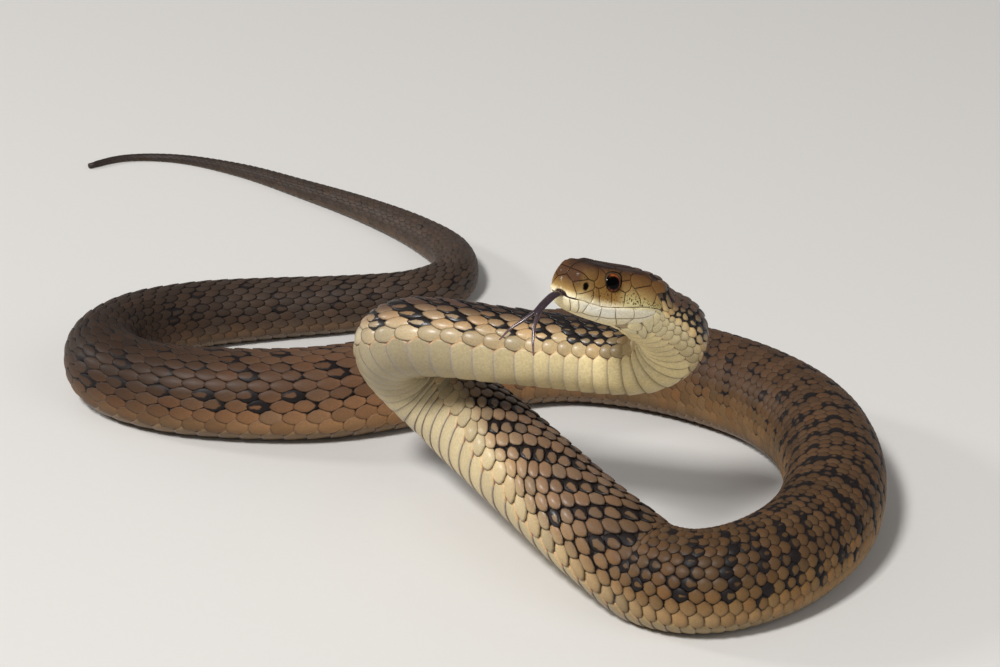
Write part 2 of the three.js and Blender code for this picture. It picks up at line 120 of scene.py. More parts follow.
MOUTH_HEIGHT = [(0, -1.7), (4, -2.2), (10, -2.1), (17, -1.2), (22, -.5), (25, -.4), (30, -1.4)]
JAW_WIDTH = [
    (0, .6), (.5, 2.0), (1.5, 3.5), (3.5, 4.8), (7, 5.9), (11, 6.8), (15, 7.7), (20, 8.6), (24, 8.6),
    (30, 8.1),
]
CHIN = [
    (0, -2.1), (.5, -3.0), (1.5, -4.2), (3.5, -5.3), (7, -6.1), (12, -6.5), (18, -6.8), (24, -7.2),
    (30, -7.4),
]
# Shares of the way round the head at which those parts lie.
HEAD_SHARES = (0, 0.16, 0.3, 0.42, 0.56, 0.64, 0.82, 1)


def smooth_through(places, values, x):
    """Smooth curve through values at places, read at x; rows of values may have one column for each x"""
    places = np.asarray(places, float)
    values = np.asarray(values, float)
    x = np.clip(np.asarray(x, float), places[0], places[-1])
    slopes = np.empty_like(values)
    gaps = np.diff(places)
    wide = (places[2:] - places[:-2]).reshape((-1,) + (1,) * (values.ndim - 1))
    slopes[1:-1] = (values[2:] - values[:-2]) / wide
    slopes[0] = (values[1] - values[0]) / gaps[0]
    slopes[-1] = (values[-1] - values[-2]) / gaps[-1]
    i = np.clip(np.searchsorted(places, x, side="left") - 1, 0, len(places) - 2)
    span = gaps[i]
    t = (x - places[i]) / span
    pick = (lambda a, k: a[k]) if values.ndim == 1 else (lambda a, k: a[k, np.arange(x.size)])
    return (
        (2 * t**3 - 3 * t**2 + 1) * pick(values, i)
        + (t**3 - 2 * t**2 + t) * span * pick(slopes, i)
        + (3 * t**2 - 2 * t**3) * pick(values, i + 1)
        + (t**3 - t**2) * span * pick(slopes, i + 1)
    )


def along(table, x):
    """Value at x of a table of (place, value)"""
    places, values = zip(*table)
    return smooth_through(places, values, x)


def smoothstep(low, high, x):
    """0 below low and 1 above high, with a smooth rise between them"""
    t = np.clip((np.asarray(x, float) - low) / (high - low), 0, 1)
    return t * t * (3 - 2 * t)


def fade(low, high, x):
    """1 below low and 0 above high, with a smooth fall between them"""
    return 1 - smoothstep(low, high, x)


def window(edges, x):
    """1 between the middle two of four edges and 0 outside the outer two"""
    return smoothstep(edges[0], edges[1], x) * fade(edges[2], edges[3], x)


def unit(v):
    """Each vector with length 1"""
    return v / np.linalg.norm(v, axis=-1, keepdims=True)


def head_forward():
    """The direction in which the snout points"""
    yaw, pitch = math.radians(HEAD_YAW), math.radians(HEAD_PITCH)
    return np.array([-math.cos(yaw) * math.cos(pitch), -math.sin(yaw) * math.cos(pitch), math.sin(pitch)])


FORWARD = head_forward()


def catmull_rom(points, per_span):
    """Centripetal curve through points, as per_span samples for each span from the second point on"""
    ends = np.vstack([2 * points[0] - points[1], points, 2 * points[-1] - points[-2]])
    t = np.arange(per_span)[:, None] / per_span
    out = []
    for i in range(1, len(points) - 1):
        a, b, c, d = ends[i:i + 4]
        da, db, dc = (np.sum((q - p) ** 2) ** 0.25 for p, q in ((a, b), (b, c), (c, d)))
        t0 = ((b - a) / da - (c - a) / (da + db) + (c - b) / db) * db
        t1 = ((c - b) / db - (d - b) / (db + dc) + (d - c) / dc) * db
        out.append(b + t0 * t + (3 * (c - b) - 2 * t0 - t1) * t**2 + (2 * (b - c) + t0 + t1) * t**3)
    out.append(points[-1:])
    return np.vstack(out)


def trace_backbone():
    """Place, lean in radians and raised share of the backbone at each millimetre from the snout"""
    snout = np.array(SNOUT)
    lead = [snout + FORWARD * (LEAD_IN - STRAIGHT_HEAD), snout - FORWARD * STRAIGHT_HEAD]
    rows = [(w + (0, 0))[:4] for w in WAYPOINTS]
    points = np.vstack([lead, [r[:3] for r in rows]])
    leans = np.array([0, 0] + [r[3] for r in rows], float)
    raised = np.array([1, 1] + [float(len(w) == 4) for w in WAYPOINTS])
    dense = catmull_rom(points, SPAN_SAMPLES)
    knots = np.arange(1, len(points))
    fine = 1 + np.arange(len(dense)) / SPAN_SAMPLES
    lean_fine, raised_fine = np.interp(fine, knots, leans[1:]), np.interp(fine, knots, raised[1:])
    walked = STRAIGHT_HEAD + np.concatenate([[0], np.cumsum(np.linalg.norm(np.diff(dense, axis=0), axis=1))])
    s = np.arange(STRAIGHT_HEAD, math.floor(walked[-1]) + 1)
    place = np.stack([np.interp(s, walked, dense[:, k]) for k in range(3)], 1)
    up = np.interp(s, walked, raised_fine)
    floor = REST_DROP * along(GIRTH, s)
    place[:, 2] = np.maximum(floor + (place[:, 2] - floor) * up, floor)
    head = snout - FORWARD * np.arange(STRAIGHT_HEAD)[:, None]
    place = np.vstack([head, place])
    lean = np.concatenate([np.zeros(STRAIGHT_HEAD), np.interp(s, walked, lean_fine)])
    up = np.concatenate([np.ones(STRAIGHT_HEAD), up])
    first = STRAIGHT_HEAD - 2
    for _ in range(SMOOTHING_ROUNDS):
        place[first:-1] = (place[first - 1:-2] + 2 * place[first:-1] + place[first + 1:]) / 4
        lean[first:-1] = (lean[first - 1:-2] + 2 * lean[first:-1] + lean[first + 1:]) / 4
    return place, np.radians(lean), up


PLACE, LEAN, RAISED = trace_backbone()
LENGTH = len(PLACE) - 1


def frame_at(s):
    """Place of the backbone at s, and the directions to the tail, the back and the left there"""
    s = np.clip(np.asarray(s, float), 0, LENGTH)
    i = np.minimum(np.floor(s).astype(int), LENGTH - 1)
    f = (s - i)[:, None]
    place = PLACE[i] * (1 - f) + PLACE[i + 1] * f
    near = unit(PLACE[i + 1] - PLACE[np.maximum(i - 1, 0)])
    far = unit(PLACE[np.minimum(i + 2, LENGTH)] - PLACE[i])
    tailward = unit(near * (1 - f) + far * f)
    lean = LEAN[i] * (1 - f[:, 0]) + LEAN[i + 1] * f[:, 0]
    back = np.stack([np.zeros_like(lean), np.sin(lean), np.cos(lean)], 1)
    back = unit(back - tailward * np.sum(back * tailward, 1, keepdims=True))
    return place, tailward, back, np.cross(tailward, back)


def body_outline(s, u):
    """How far the body reaches sideways and up at share u of the way from its back to its belly"""
    half = along(GIRTH, s)
    raised = RAISED[np.clip(np.round(s).astype(int), 0, LENGTH)]
    power, rise, drop = (low + (high - low) * raised for low, high in (BELLY_POWER, BACK_RISE, BELLY_DROP))
    angle = math.pi * u
    side = half * np.abs(np.sin(angle)) ** np.where(u < 0.5, BACK_POWER, power)
    c = np.cos(angle)
    rise = half * rise * along(NAPE_DIP, s)
    return side, np.where(c >= 0, rise * np.abs(c) ** BACK_POWER, -half * drop * np.abs(c) ** power)


def head_outline(s, u):
    """How far the head reaches sideways and up at share u of the way from its crown to its chin"""
    crown, mouth, chin = along(CROWN, s), along(MOUTH_HEIGHT, s), along(CHIN, s)
    brow, lip, jaw = along(BROW_WIDTH, s), along(LIP_WIDTH, s), along(JAW_WIDTH, s)
    nothing = np.zeros_like(crown)
    sideways = [nothing, brow * 0.62, brow, along(CHEEK_WIDTH, s), lip, jaw, jaw * 0.66, nothing]
    upward = [crown, crown - 0.12, crown - along(BROW_FALL, s), along(CHEEK_HEIGHT, s),
              mouth + 0.3, mouth - 0.9, chin + (mouth - chin) * 0.12, chin]
    return np.maximum(smooth_through(HEAD_SHARES, sideways, u), 0), smooth_through(HEAD_SHARES, upward, u)


def outline(s, u):
    """How far the animal reaches sideways and up, as the head's outline turns into the body's"""
    neck = smoothstep(HEAD_LENGTH - HEAD_BLEND[0], HEAD_LENGTH + HEAD_BLEND[1], s)
    body_side, body_up = body_outline(s, u)
    head_side, head_up = head_outline(s, u)
    return head_side + (body_side - head_side) * neck, head_up + (body_up - head_up) * neck


def skin_point(s, v):
    """Points of the surface s mm from the snout, at share v round it

    v is 0 on the back, and 1 or -1 on the belly, by way of the left or the right side.
    """
    s, v = np.broadcast_arrays(np.asarray(s, float), np.asarray(v, float))
    shape = s.shape
    s, v = s.ravel(), (v.ravel() + 1) % 2 - 1
    place, _, back, left = frame_at(s)
    side, up = outline(s, np.abs(v))
    points = place + left * (side * np.sign(v))[:, None] + back * up[:, None]
    return points.reshape(shape + (3,))


# ---------------------------------------------------------------- surface

# Turn of the scales' pattern round the body against the level of its frame, as a share of half a turn.
ROLL = [
    (26, 0), (32, 0.12), (36, 0.15), (41, 0.2), (46, 0.225), (50, 0.17), (58, 0.08), (66, 0.02), (76, 0),
    (108, 0), (120, 0.02), (125, 0.06), (129, 0.13), (136, 0.1), (145, 0), (153, -0.1), (160, -0.17),
    (167, -0.24), (174, -0.25), (180, -0.215), (188, -0.18), (199, -0.16), (205, -0.11), (212, -0.08),
    (228, -0.05), (246, -0.03), (270, 0),
]
# Steps along and round the body by which the slope of its surface is felt, and its length is measured.
STEP_S, STEP_V = 0.15, 0.004
STRETCH_STEP = 0.75
# Half of the way round a body whose half width is 1.
HALF_ROUND = 3.05


def turned(s, v):
    """Share round the frame for a share v of the pattern"""
    return (v + along(ROLL, s) + 1) % 2 - 1


def surface(s, v, lift=0.0):
    """Points lift millimetres above the animal's surface at pattern share v, never below the floor"""
    s, v, lift = np.broadcast_arrays(np.asarray(s, float), np.asarray(v, float), np.asarray(lift, float))
    v = turned(s, v)
    here = skin_point(s, v)
    ahead = skin_point(np.clip(s + STEP_S, 0, LENGTH), v) - skin_point(np.clip(s - STEP_S, 0, LENGTH), v)
    round_it = skin_point(s, v + STEP_V) - skin_point(s, v - STEP_V)
    normal = unit(np.cross(round_it, ahead) + 1e-12)
    point = here + normal * lift[..., None]
    point[..., 2] = np.maximum(point[..., 2], FLOOR_GAP)
    return point


def stretch(s, v):
    """Length along the body's surface for each millimetre of backbone, which is small inside a bend"""
    v = turned(s, v)
    a, b = np.clip(s - STRETCH_STEP, 0, LENGTH), np.clip(s + STRETCH_STEP, 0, LENGTH)
    return np.linalg.norm(skin_point(b, v) - skin_point(a, v), axis=-1) / (b - a)


# ---------------------------------------------------------------- colours and meshes


def colour(*rgb):
    """A linear colour from eight-bit values"""
    c = np.array(rgb, float) / 255
    return np.where(c <= 0.04045, c / 12.92, ((c + 0.055) / 1.055) ** 2.4)


def blend_colours(a, b, share):
    """Colours between a, where share is 0, and b, where it is 1"""
    return a + (b - a) * np.clip(share, 0, 1)[..., None]


def deselect_all():
    """Leave edit mode, and select nothing"""
    if bpy.context.object and bpy.context.object.mode != "OBJECT":
        bpy.ops.object.mode_set(mode="OBJECT")
    bpy.ops.object.select_all(action="DESELECT")


def pick_faces(piece, test):
    """Select the faces that pass the test, in edit mode"""
    bpy.ops.mesh.select_all(action="DESELECT")
    edit = bmesh.from_edit_mesh(piece.data)
    for face in edit.faces:
        if test(face):
            face.select_set(True)
    bmesh.update_edit_mesh(piece.data)


def named_piece(name):
    """The piece that was just added, under its name"""
    piece = bpy.context.object
    piece.name = name
    piece.data.name = name
    return piece, piece.data


def read_points(mesh):
    """The places of a mesh's points, one row each"""
    points = np.empty(3 * len(mesh.vertices))
    mesh.vertices.foreach_get("co", points)
    return points.reshape(-1, 3)


def read_template(piece):
    """Points of a piece that is copied many times, and its faces sorted by their number of corners"""
    mesh = piece.data
    points = read_points(mesh)
    faces = {}
    for face in mesh.polygons:
        faces.setdefault(len(face.vertices), []).append(tuple(face.vertices))
    bpy.data.meshes.remove(mesh)
    return points, [np.array(group) for group in faces.values()]


def copied_faces(faces, per, count):
    """Faces of count copies of a template that has per points"""
    starts = per * np.arange(count)[:, None, None]
    return [(group[None] + starts).reshape(-1, group.shape[1]) for group in faces]


def signed_volume(points, faces):
    """Volume of a closed shape, times six, which is negative where its faces point inwards"""
    total = 0.0
    for group in faces:
        a = points[group[:, 0]]
        for k in range(1, group.shape[1] - 1):
            total += np.einsum("ij,ij->", a, np.cross(points[group[:, k]], points[group[:, k + 1]]))
    return total


def paint(piece, colours):
    """Write a colour, and where it has a fourth number its share of dark marks, on each point"""
    if colours.shape[1] == 3:
        colours = np.hstack([colours, np.zeros((len(colours), 1))])
    coat = piece.data.color_attributes.new("Coat", "FLOAT_COLOR", "POINT")
    coat.data.foreach_set("color", np.clip(colours, 0, 1).ravel())


def mesh_piece(name, points, faces, colours, unwrap):
    """A smooth object of closed shapes in millimetres

    faces is a list of arrays of corners, and unwrap holds each point's place on the map OFBake.
    """
    if signed_volume(points - points.mean(0), faces) < 0:
        faces = [group[:, ::-1] for group in faces]
    mesh = bpy.data.meshes.new(name)
    corners = np.concatenate([group.ravel() for group in faces])
    totals = np.concatenate([np.full(len(group), group.shape[1]) for group in faces])
    mesh.vertices.add(len(points))
    mesh.vertices.foreach_set("co", (points * MM).ravel())
    mesh.loops.add(len(corners))
    mesh.loops.foreach_set("vertex_index", corners.astype(np.int32))
    mesh.polygons.add(len(totals))
    mesh.polygons.foreach_set("loop_start", np.concatenate([[0], np.cumsum(totals)[:-1]]).astype(np.int32))
    mesh.polygons.foreach_set("loop_total", totals.astype(np.int32))
    mesh.update(calc_edges=True)
    mesh.polygons.foreach_set("use_smooth", np.ones(len(totals), bool))
    mesh.uv_layers.new(name="OFBake").uv.foreach_set("vector", unwrap[corners].ravel())
    mesh.validate()
    piece = bpy.data.objects.new(name, mesh)
    bpy.context.collection.objects.link(piece)
    paint(piece, colours)
    return piece


def rolled_tube(name, rows, sides, shape, tone, unwrap):
    """A grid rolled into a tube whose seam is merged and whose ends are closed

    shape, tone and unwrap give the place, colour and place on the map for a point's row and turn.
    """
    deselect_all()
    bpy.ops.mesh.primitive_grid_add(x_subdivisions=rows - 1, y_subdivisions=sides, size=2)
    piece, mesh = named_piece(name)
    places = read_points(mesh)
    row = np.rint((places[:, 0] + 1) * (rows - 1) / 2).astype(int)
    turn = np.rint((places[:, 1] + 1) * sides / 2).astype(int)
    mesh.vertices.foreach_set("co", (shape(row, turn) * MM).ravel())
    paint(piece, tone(row, turn))
    corners = np.empty(len(mesh.loops), np.int32)
    mesh.loops.foreach_get("vertex_index", corners)
    corners = corners.reshape(-1, 4)
    mesh.uv_layers[0].name = "OFBake"
    mesh.uv_layers[0].uv.foreach_set("vector", unwrap(row[corners], turn[corners]).ravel())
    bpy.ops.object.mode_set(mode="EDIT")
    bpy.ops.mesh.select_all(action="SELECT")
    bpy.ops.mesh.remove_doubles(threshold=MERGE_DISTANCE)
    bpy.ops.mesh.fill_holes(sides=0)
    bpy.ops.mesh.select_all(action="DESELECT")
    bpy.ops.mesh.select_face_by_sides(number=4, type="GREATER")
    bpy.ops.mesh.poke()
    bpy.ops.mesh.select_all(action="SELECT")
    bpy.ops.mesh.normals_make_consistent(inside=False)
    bpy.ops.object.mode_set(mode="OBJECT")
    bpy.ops.object.shade_smooth()
    return piece


# Number and length of the strips in which the map of the skin lies, one above the other.
STRIPS = 8
STRIP_LENGTH = 111
# Half of the size that one scale or plate has on the map, and the distance in metres at which points merge.
PATCH = 0.0015
MERGE_DISTANCE = 2e-6


def unwrap_place(s, v):
    """Place of a point of the skin on the map"""
    s = np.clip(s, 0, LENGTH)
    strip = np.floor(s / STRIP_LENGTH)
    return np.stack([s / STRIP_LENGTH - strip, (strip + 0.5 + 0.46 * np.clip(v, -1.05, 1.05)) / STRIPS], -1)


# ---------------------------------------------------------------- the coat's colours

# Number of waves in the noise, and their lengths along the body.
WAVES = 7
WAVE_LENGTHS = (14, 70)


def wander(s, v, seed):
    """Smooth noise between -1 and 1 along and round the body"""
    rng = np.random.default_rng(seed)
    total = np.zeros(np.broadcast(s, v).shape)
    for _ in range(WAVES):
        wave, turns = rng.uniform(*WAVE_LENGTHS), rng.integers(0, 5)
        total = total + np.sin(2 * math.pi * (s / wave + rng.random()) + turns * v * 2.2)
    return total / WAVES * 1.6


def colour_table(*rows):
    """A linear colour for each row of eight-bit values"""
    return np.array([colour(*row) for row in rows])


# Numbers that start the random draws.
BAND_SEED, SHIELD_SEED, CLOUD_SEED, SCALE_SEED, PLATE_SEED = 5, 3, 8, 11, 29
# Colours of small places: outlines of the neck's scales, painted shadow along the edges of the neck's plates,
# grooves of the lips and the chin, skin between the head's shields from the crown down, painted shade in the
# nostrils, edge of the eye's opening, iris in front and rim.
NECK_OUTLINE, NECK_PLATE_SHADOW = colour_table((104, 84, 62), (120, 104, 84))
LIP_GROOVE, CHIN_GROOVE = colour_table((224, 206, 168), (146, 124, 94))
CROWN_SEAM, BROW_SEAM = colour_table((48, 32, 24), (98, 76, 50))
LIP_SEAM, CHEEK_SEAM = colour_table((212, 192, 154), (172, 150, 116))
NOSTRIL_SHADE, EYE_OPENING = colour_table((8, 6, 5), (14, 9, 7))
IRIS_FRONT, EYE_RIM = colour_table((12, 8, 7), (30, 14, 9))
PUPIL_BLACK = np.full(3, 0.0004)
# Millimetres from the snout at which the tables below give a colour.
STATIONS = [25, 60, 120, 160, 210, 250, 300, 420, 490, 560, 700, 878]
# Set against lit tones, these colours hold painted shade as well as the coat's own colour: the dip near 120
# mm, most of all on the belly, and the darker coat near 560 mm.
BACK_COLOURS = colour_table(
    (92, 67, 50), (80, 60, 46), (84, 62, 49), (112, 90, 70), (118, 92, 70), (84, 62, 41), (80, 58, 38),
    (80, 58, 42), (98, 71, 52), (54, 39, 29), (70, 57, 48), (50, 42, 38),
)
FLANK_COLOURS = colour_table(
    (206, 176, 120), (206, 172, 122), (166, 136, 100), (158, 132, 100), (158, 128, 94), (118, 88, 54),
    (128, 96, 57), (114, 84, 55), (146, 106, 73), (82, 58, 40), (76, 62, 52), (52, 44, 40),
)
LOW_COLOURS = colour_table(
    (228, 212, 166), (192, 168, 124), (174, 155, 122), (184, 166, 130), (186, 164, 124), (150, 121, 83),
    (138, 107, 69), (118, 90, 60), (152, 115, 78), (104, 77, 52), (98, 78, 61), (60, 50, 44),
)
BELLY_COLOURS = colour_table(
    (238, 218, 166), (222, 202, 152), (146, 133, 105), (184, 168, 132), (180, 162, 124), (142, 122, 86),
    (120, 96, 66), (108, 84, 58), (118, 93, 64), (106, 84, 60), (96, 80, 65), (76, 66, 58),
)


def station_colour(table, s):
    """Colour at s from a table with one row for each station"""
    return np.stack([along(list(zip(STATIONS, column)), s) for column in table.T], -1)


def ground_colour(s, v):
    """Plain colour of the scales: the back's passes into the flank's and the low rows', sooner on the neck"""
    v = np.abs(v)
    neck = fade(36, 56, s)
    flank = smoothstep(0.3 - 0.06 * neck, 0.56 - 0.12 * neck, v)
    low = smoothstep(0.48 - 0.08 * neck, 0.6 - 0.1 * neck, v)
    tone = blend_colours(station_colour(BACK_COLOURS, s), station_colour(FLANK_COLOURS, s), flank)
    return blend_colours(tone, station_colour(LOW_COLOURS, s), low)


# Between these places in the right coil every third scale is dark, and elsewhere every second.
THIRDS = (250, 440)


def band(s, v, column, row):
    """How far a scale lies inside one of the dark crossbands, 0 to 1"""
    inside, past = (np.clip(column - np.interp(place, COLUMN_S, COLUMN_COUNT), 0, None) for place in THIRDS)
    slant = np.where(inside > 0, 0.06, 0.25)
    phase = column / 2 - inside / 6 + past / 6 + slant * np.abs(row) + 0.16 * wander(s, v, BAND_SEED)
    return np.clip(1.6 * (np.cos(2 * math.pi * phase) + 0.1), 0, 1)


# ---------------------------------------------------------------- head shields

# The ring of marks round the eye: mm from the snout, share round the head, and half of its length and height.
EYE_RING = (9.88, 0.365, 2.47, 0.073)
# Corners (with a capital first) and points on the way between them, on the left side: mm from the snout, then
# share round the head. Three values are mm behind, to the right and up from the tip of the snout.
MARKS = {
    "R1": (0.0, 0, 2.6), "rn1": (0.4, -2.1, -2.15), "rn2": (0.1, -1.3, -1.45), "rn3": (0.0, 0, -1.2),
    "P1": (0.8, 0), "F0": (5.8, 0), "F1": (15.8, 0), "PZ": (24.2, 0), "R2": (0.3, 0.38), "R3": (1.1, 0.53),
    "R4": (1.3, 0.585), "in1": (0.9, 0.255), "in2": (1.5, 0.325), "in3": (2.2, 0.362), "in4": (1.0, 0.38),
    "N1": (2.6, 0.38), "N2": (4.0, 0.392), "N3": (4.4, 0.432), "N4": (4.1, 0.46), "nl1": (2.0, 0.502),
    "nl2": (3.0, 0.48), "pf1": (4.9, 0.367), "pf2": (5.5, 0.31), "T1": (5.9, 0.235), "F2": (6.1, 0.13),
    "f3": (10, 0.135), "F3": (13.3, 0.13), "so1": (6.9, 0.285), "U1": (13.9, 0.222), "U2": (15.7, 0.295),
    "U3": (15.3, 0.332), "L1": (15.7, 0.36), "G2": (15.1, 0.39), "G1": (13.9, 0.415), "AT": (16.7, 0.372),
    "at1": (17.0, 0.25), "at2": (19.6, 0.215), "at3": (22.0, 0.24), "PR": (23.7, 0.302), "PL": (23.0, 0.33),
    "pz1": (24.9, 0.15), "TA": (25.7, 0.272), "TB": (28.6, 0.29), "TC": (28.9, 0.34), "ST": (24.9, 0.362),
    "Q1": (5.6, 0.44), "q2": (7.1, 0.417), "sl1": (4.7, 0.495), "sl2": (6.6, 0.51), "sl3": (10.2, 0.475),
    "sl4": (13.9, 0.47), "sl5": (18.1, 0.407), "sl6": (18.6, 0.45), "sl7": (22.6, 0.44), "M1": (4.7, 0.573),
    "M2": (7.5, 0.575), "M3": (10.5, 0.566), "M4": (13.9, 0.552), "M5": (18.9, 0.524), "M6": (21.4, 0.502),
    "MC": (24.0, 0.484), "m0": (2.8, 0.572), "SX": (26.9, 0.395), "sx1": (26.6, 0.44), "SY": (25.6, 0.49),
    "C0": (0.0, 0, -2.15), "C1": (0.75, 0.62), "c2": (1.8, 0.80), "C3": (3.9, 0.925), "C4": (4.6, 1.0),
    "I1": (1.9, 0.594), "i1": (3.2, 0.712), "I2": (4.2, 0.835), "J1": (4.3, 0.579), "J2": (4.9, 0.778),
    "K1": (8.0, 0.580), "k1": (8.8, 0.662), "K2": (9.7, 0.742), "O1": (11.9, 0.566), "o1": (12.8, 0.65),
    "O2": (14.3, 0.722), "Y1": (16.6, 0.545), "y1": (18.0, 0.632), "Y2": (19.1, 0.694), "Z2": (24.9, 0.607),
    "z1": (22.6, 0.672), "HB": (18.2, 0.765), "HC": (22.4, 0.728), "HD": (25.4, 0.655), "G3": (10.6, 0.84),
    "G4": (9.6, 1.0), "G5": (16.4, 0.80), "G6": (16.2, 1.0), "g7": (7.2, 0.767), "g8": (12.2, 0.737),
}
# Marks on the eye's ring, by their angle in degrees.
EYE_MARKS = {
    "E1": 150, "ea": 126, "eb": 102, "ec": 78, "E2": 56, "ed": 32, "E3": 7, "ee": -13, "E4": -32, "ef": -50,
    "eg": -69, "E5": -88, "eh": -108, "ei": -130, "E6": -152, "ej": -176, "ek": -194,
}
for eye_mark, degrees in EYE_MARKS.items():
    turn = math.radians(degrees)
    MARKS[eye_mark] = (EYE_RING[0] + EYE_RING[2] * math.cos(turn), EYE_RING[1] - EYE_RING[3] * math.sin(turn))

# The marks round each shield, in order. These have a twin on the right side.
SHIELDS = {
    "internasal": "R1 R2 in4 N1 in3 in2 in1 P1",
    "prefrontal": "P1 in1 in2 in3 N1 N2 pf1 pf2 T1 F2 F0",
    "nasal": "R2 R3 nl1 nl2 N4 N3 N2 N1 in4",
    "supraocular": "F2 T1 so1 E1 ea eb ec E2 U1 F3 f3",
    "preocular": "N3 N2 pf1 pf2 T1 so1 E1 ek ej E6 q2 Q1",
    "upper_postocular": "E2 U1 U2 U3 E3 ed",
    "lower_postocular": "E3 U3 L1 G2 G1 E4 ee",
    "parietal": "F3 F1 PZ pz1 PR at3 at2 at1 U2 U1",
    "temporal": "U2 at1 at2 at3 PR PL AT L1 U3",
    "hind_temporal": "PR TA TB TC ST PL",
    "labial_1": "R3 R4 m0 M1 sl1 N4 nl2 nl1",
    "labial_2": "N4 N3 Q1 sl2 M2 M1 sl1",
    "labial_3": "Q1 q2 E6 ei eh E5 sl3 M3 M2 sl2",
    "labial_4": "E5 eg ef E4 G1 sl4 M4 M3 sl3",
    "labial_5": "G1 G2 L1 AT sl5 sl6 M5 M4 sl4",
    "labial_6": "AT PL ST sl7 M6 M5 sl6 sl5",
    "labial_7": "ST SX sx1 SY MC M6 sl7",
    "lower_1": "C1 I1 i1 I2 C3 c2",
    "lower_2": "I1 m0 J1 J2 I2 i1",
    "lower_3": "J1 M1 M2 K1 k1 K2 g7 J2",
    "lower_4": "K1 M3 O1 o1 O2 g8 K2 k1",
    "lower_5": "O1 M4 Y1 y1 Y2 O2 o1",
    "lower_6": "Y1 M5 M6 MC Z2 z1 Y2 y1",
    "chin_front": "C4 C3 I2 J2 g7 K2 G3 G4",
    "chin_back": "G4 G3 K2 g8 O2 G5 G6",
    "gular_1": "O2 Y2 HB G5",
    "gular_2": "Y2 z1 Z2 HD HC HB",
}
# These lie across the middle, and their marks run from the middle round the left side.
MIDDLE_SHIELDS = {
    "rostral": "R1 R2 R3 R4 rn1 rn2 rn3",
    "frontal": "F0 F2 f3 F3 F1",
    "mental": "C0 C1 c2 C3 C4",
}

# Rings of the shell on which the shields lie, in mm from the snout: those at the tip, then first, end and
# step of the rest. SHELL_TURNS is the number of points in a ring.
SHELL_TIP = [0, 0.05, 0.12, 0.2, 0.3, 0.4, 0.5, 0.65, 0.8, 1.0]
SHELL_REST = (1.2, 42, 0.25)
SHELL_TURNS = 160


class HeadSurface:
    """Dense smooth shell of the head and nape, on which points land"""

    def __init__(self):
        places = np.concatenate([SHELL_TIP, np.arange(*SHELL_REST)])
        turns = SHELL_TURNS
        share = np.linspace(-1, 1, turns + 1)[:-1]
        s, v = np.meshgrid(places, share, indexing="ij")
        points = skin_point(s, v)
        middle = points[0].mean(0) + FORWARD * 0.12
        caps = [middle + (points[0] - middle) * f + FORWARD * (0.1 * (1 - f * f)) for f in (0.3, 0.65, 0.88)]
        points = np.concatenate([np.stack(caps), points])
        rows = len(points)
        s = np.vstack([np.zeros((len(caps), turns)), s])
        v = np.vstack([v[:len(caps)], v])
        i, j = np.meshgrid(np.arange(rows - 1) * turns, np.arange(turns), indexing="ij")
        k = (j + 1) % turns
        quads = np.stack([i + j, i + turns + j, i + turns + k, i + k], -1).reshape(-1, 4)
        self.points = np.vstack([points.reshape(-1, 3), middle + FORWARD * 0.1])
        corner = self.points[quads]
        normal = np.cross(corner[:, 2] - corner[:, 0], corner[:, 3] - corner[:, 1])
        total = np.zeros_like(self.points)
        for c in range(4):
            np.add.at(total, quads[:, c], normal)
        total[-1] = FORWARD
        out = np.sum((self.points[:-1] - np.repeat(frame_at(s[:, 0])[0], turns, 0)) * total[:-1])
        self.normals = unit(total * np.sign(out))
        self.normals[-1] = FORWARD
        self.s, self.v = s.ravel(), v.ravel()
        ends = [(rows * turns, c, (c + 1) % turns) for c in range(turns)]
        self.tree = BVHTree.FromPolygons([Vector(p) for p in self.points], [tuple(f) for f in quads] + ends)
        self.faces = np.vstack([quads, [(b, c, b, c) for _, b, c in ends]])

    def land(self, points):
        """Nearest points of the shell to points, with the normal and (s, v) at each"""
        place, normal, where = np.empty_like(points), np.empty_like(points), np.empty((len(points), 2))
        for index, point in enumerate(points):
            spot, _, face, _ = self.tree.find_nearest(Vector(point))
            near = self.faces[face]
            weight = 1 / (np.linalg.norm(self.points[near] - np.array(spot), axis=1) + 1e-4)
            place[index] = spot
            normal[index] = (self.normals[near] * weight[:, None]).sum(0)
            v = self.v[near]
            v = np.where(v < v[0] - 1, v + 2, np.where(v > v[0] + 1, v - 2, v))
            where[index] = (self.s[near] @ weight / weight.sum(), v @ weight / weight.sum())
        return place, unit(normal), where


def head_place(behind, right, up):
    """A point measured from the tip of the snout, in the head's own directions"""
    place, tailward, back, left = frame_at(np.array([0.0]))
    return place[0] + tailward[0] * behind - left[0] * right + back[0] * up


def head_direction(behind, right, up):
    """A direction of length 1 given in the head's own directions"""
    _, tailward, back, left = frame_at(np.array([0.0]))
    return unit(tailward[0] * behind - left[0] * right + back[0] * up)


def mark_place(name, mirror):
    """Point of a mark, or of its twin on the right side"""
    mark = MARKS[name]
    side = -1 if mirror else 1
    if len(mark) == 3:
        return head_place(mark[0], mark[1] * side, mark[2])
    return skin_point([mark[0]], [mark[1] * side])[0]


def on_middle(name):
    """Whether a mark lies on the line between left and right"""
    mark = MARKS[name]
    return mark[1] in (0, 1) if len(mark) == 2 else mark[1] == 0


# Distance of the points on a shield's border in mm, and samples for each span of its curved parts.
BORDER_STEP = 0.34
BORDER_SAMPLES = 8


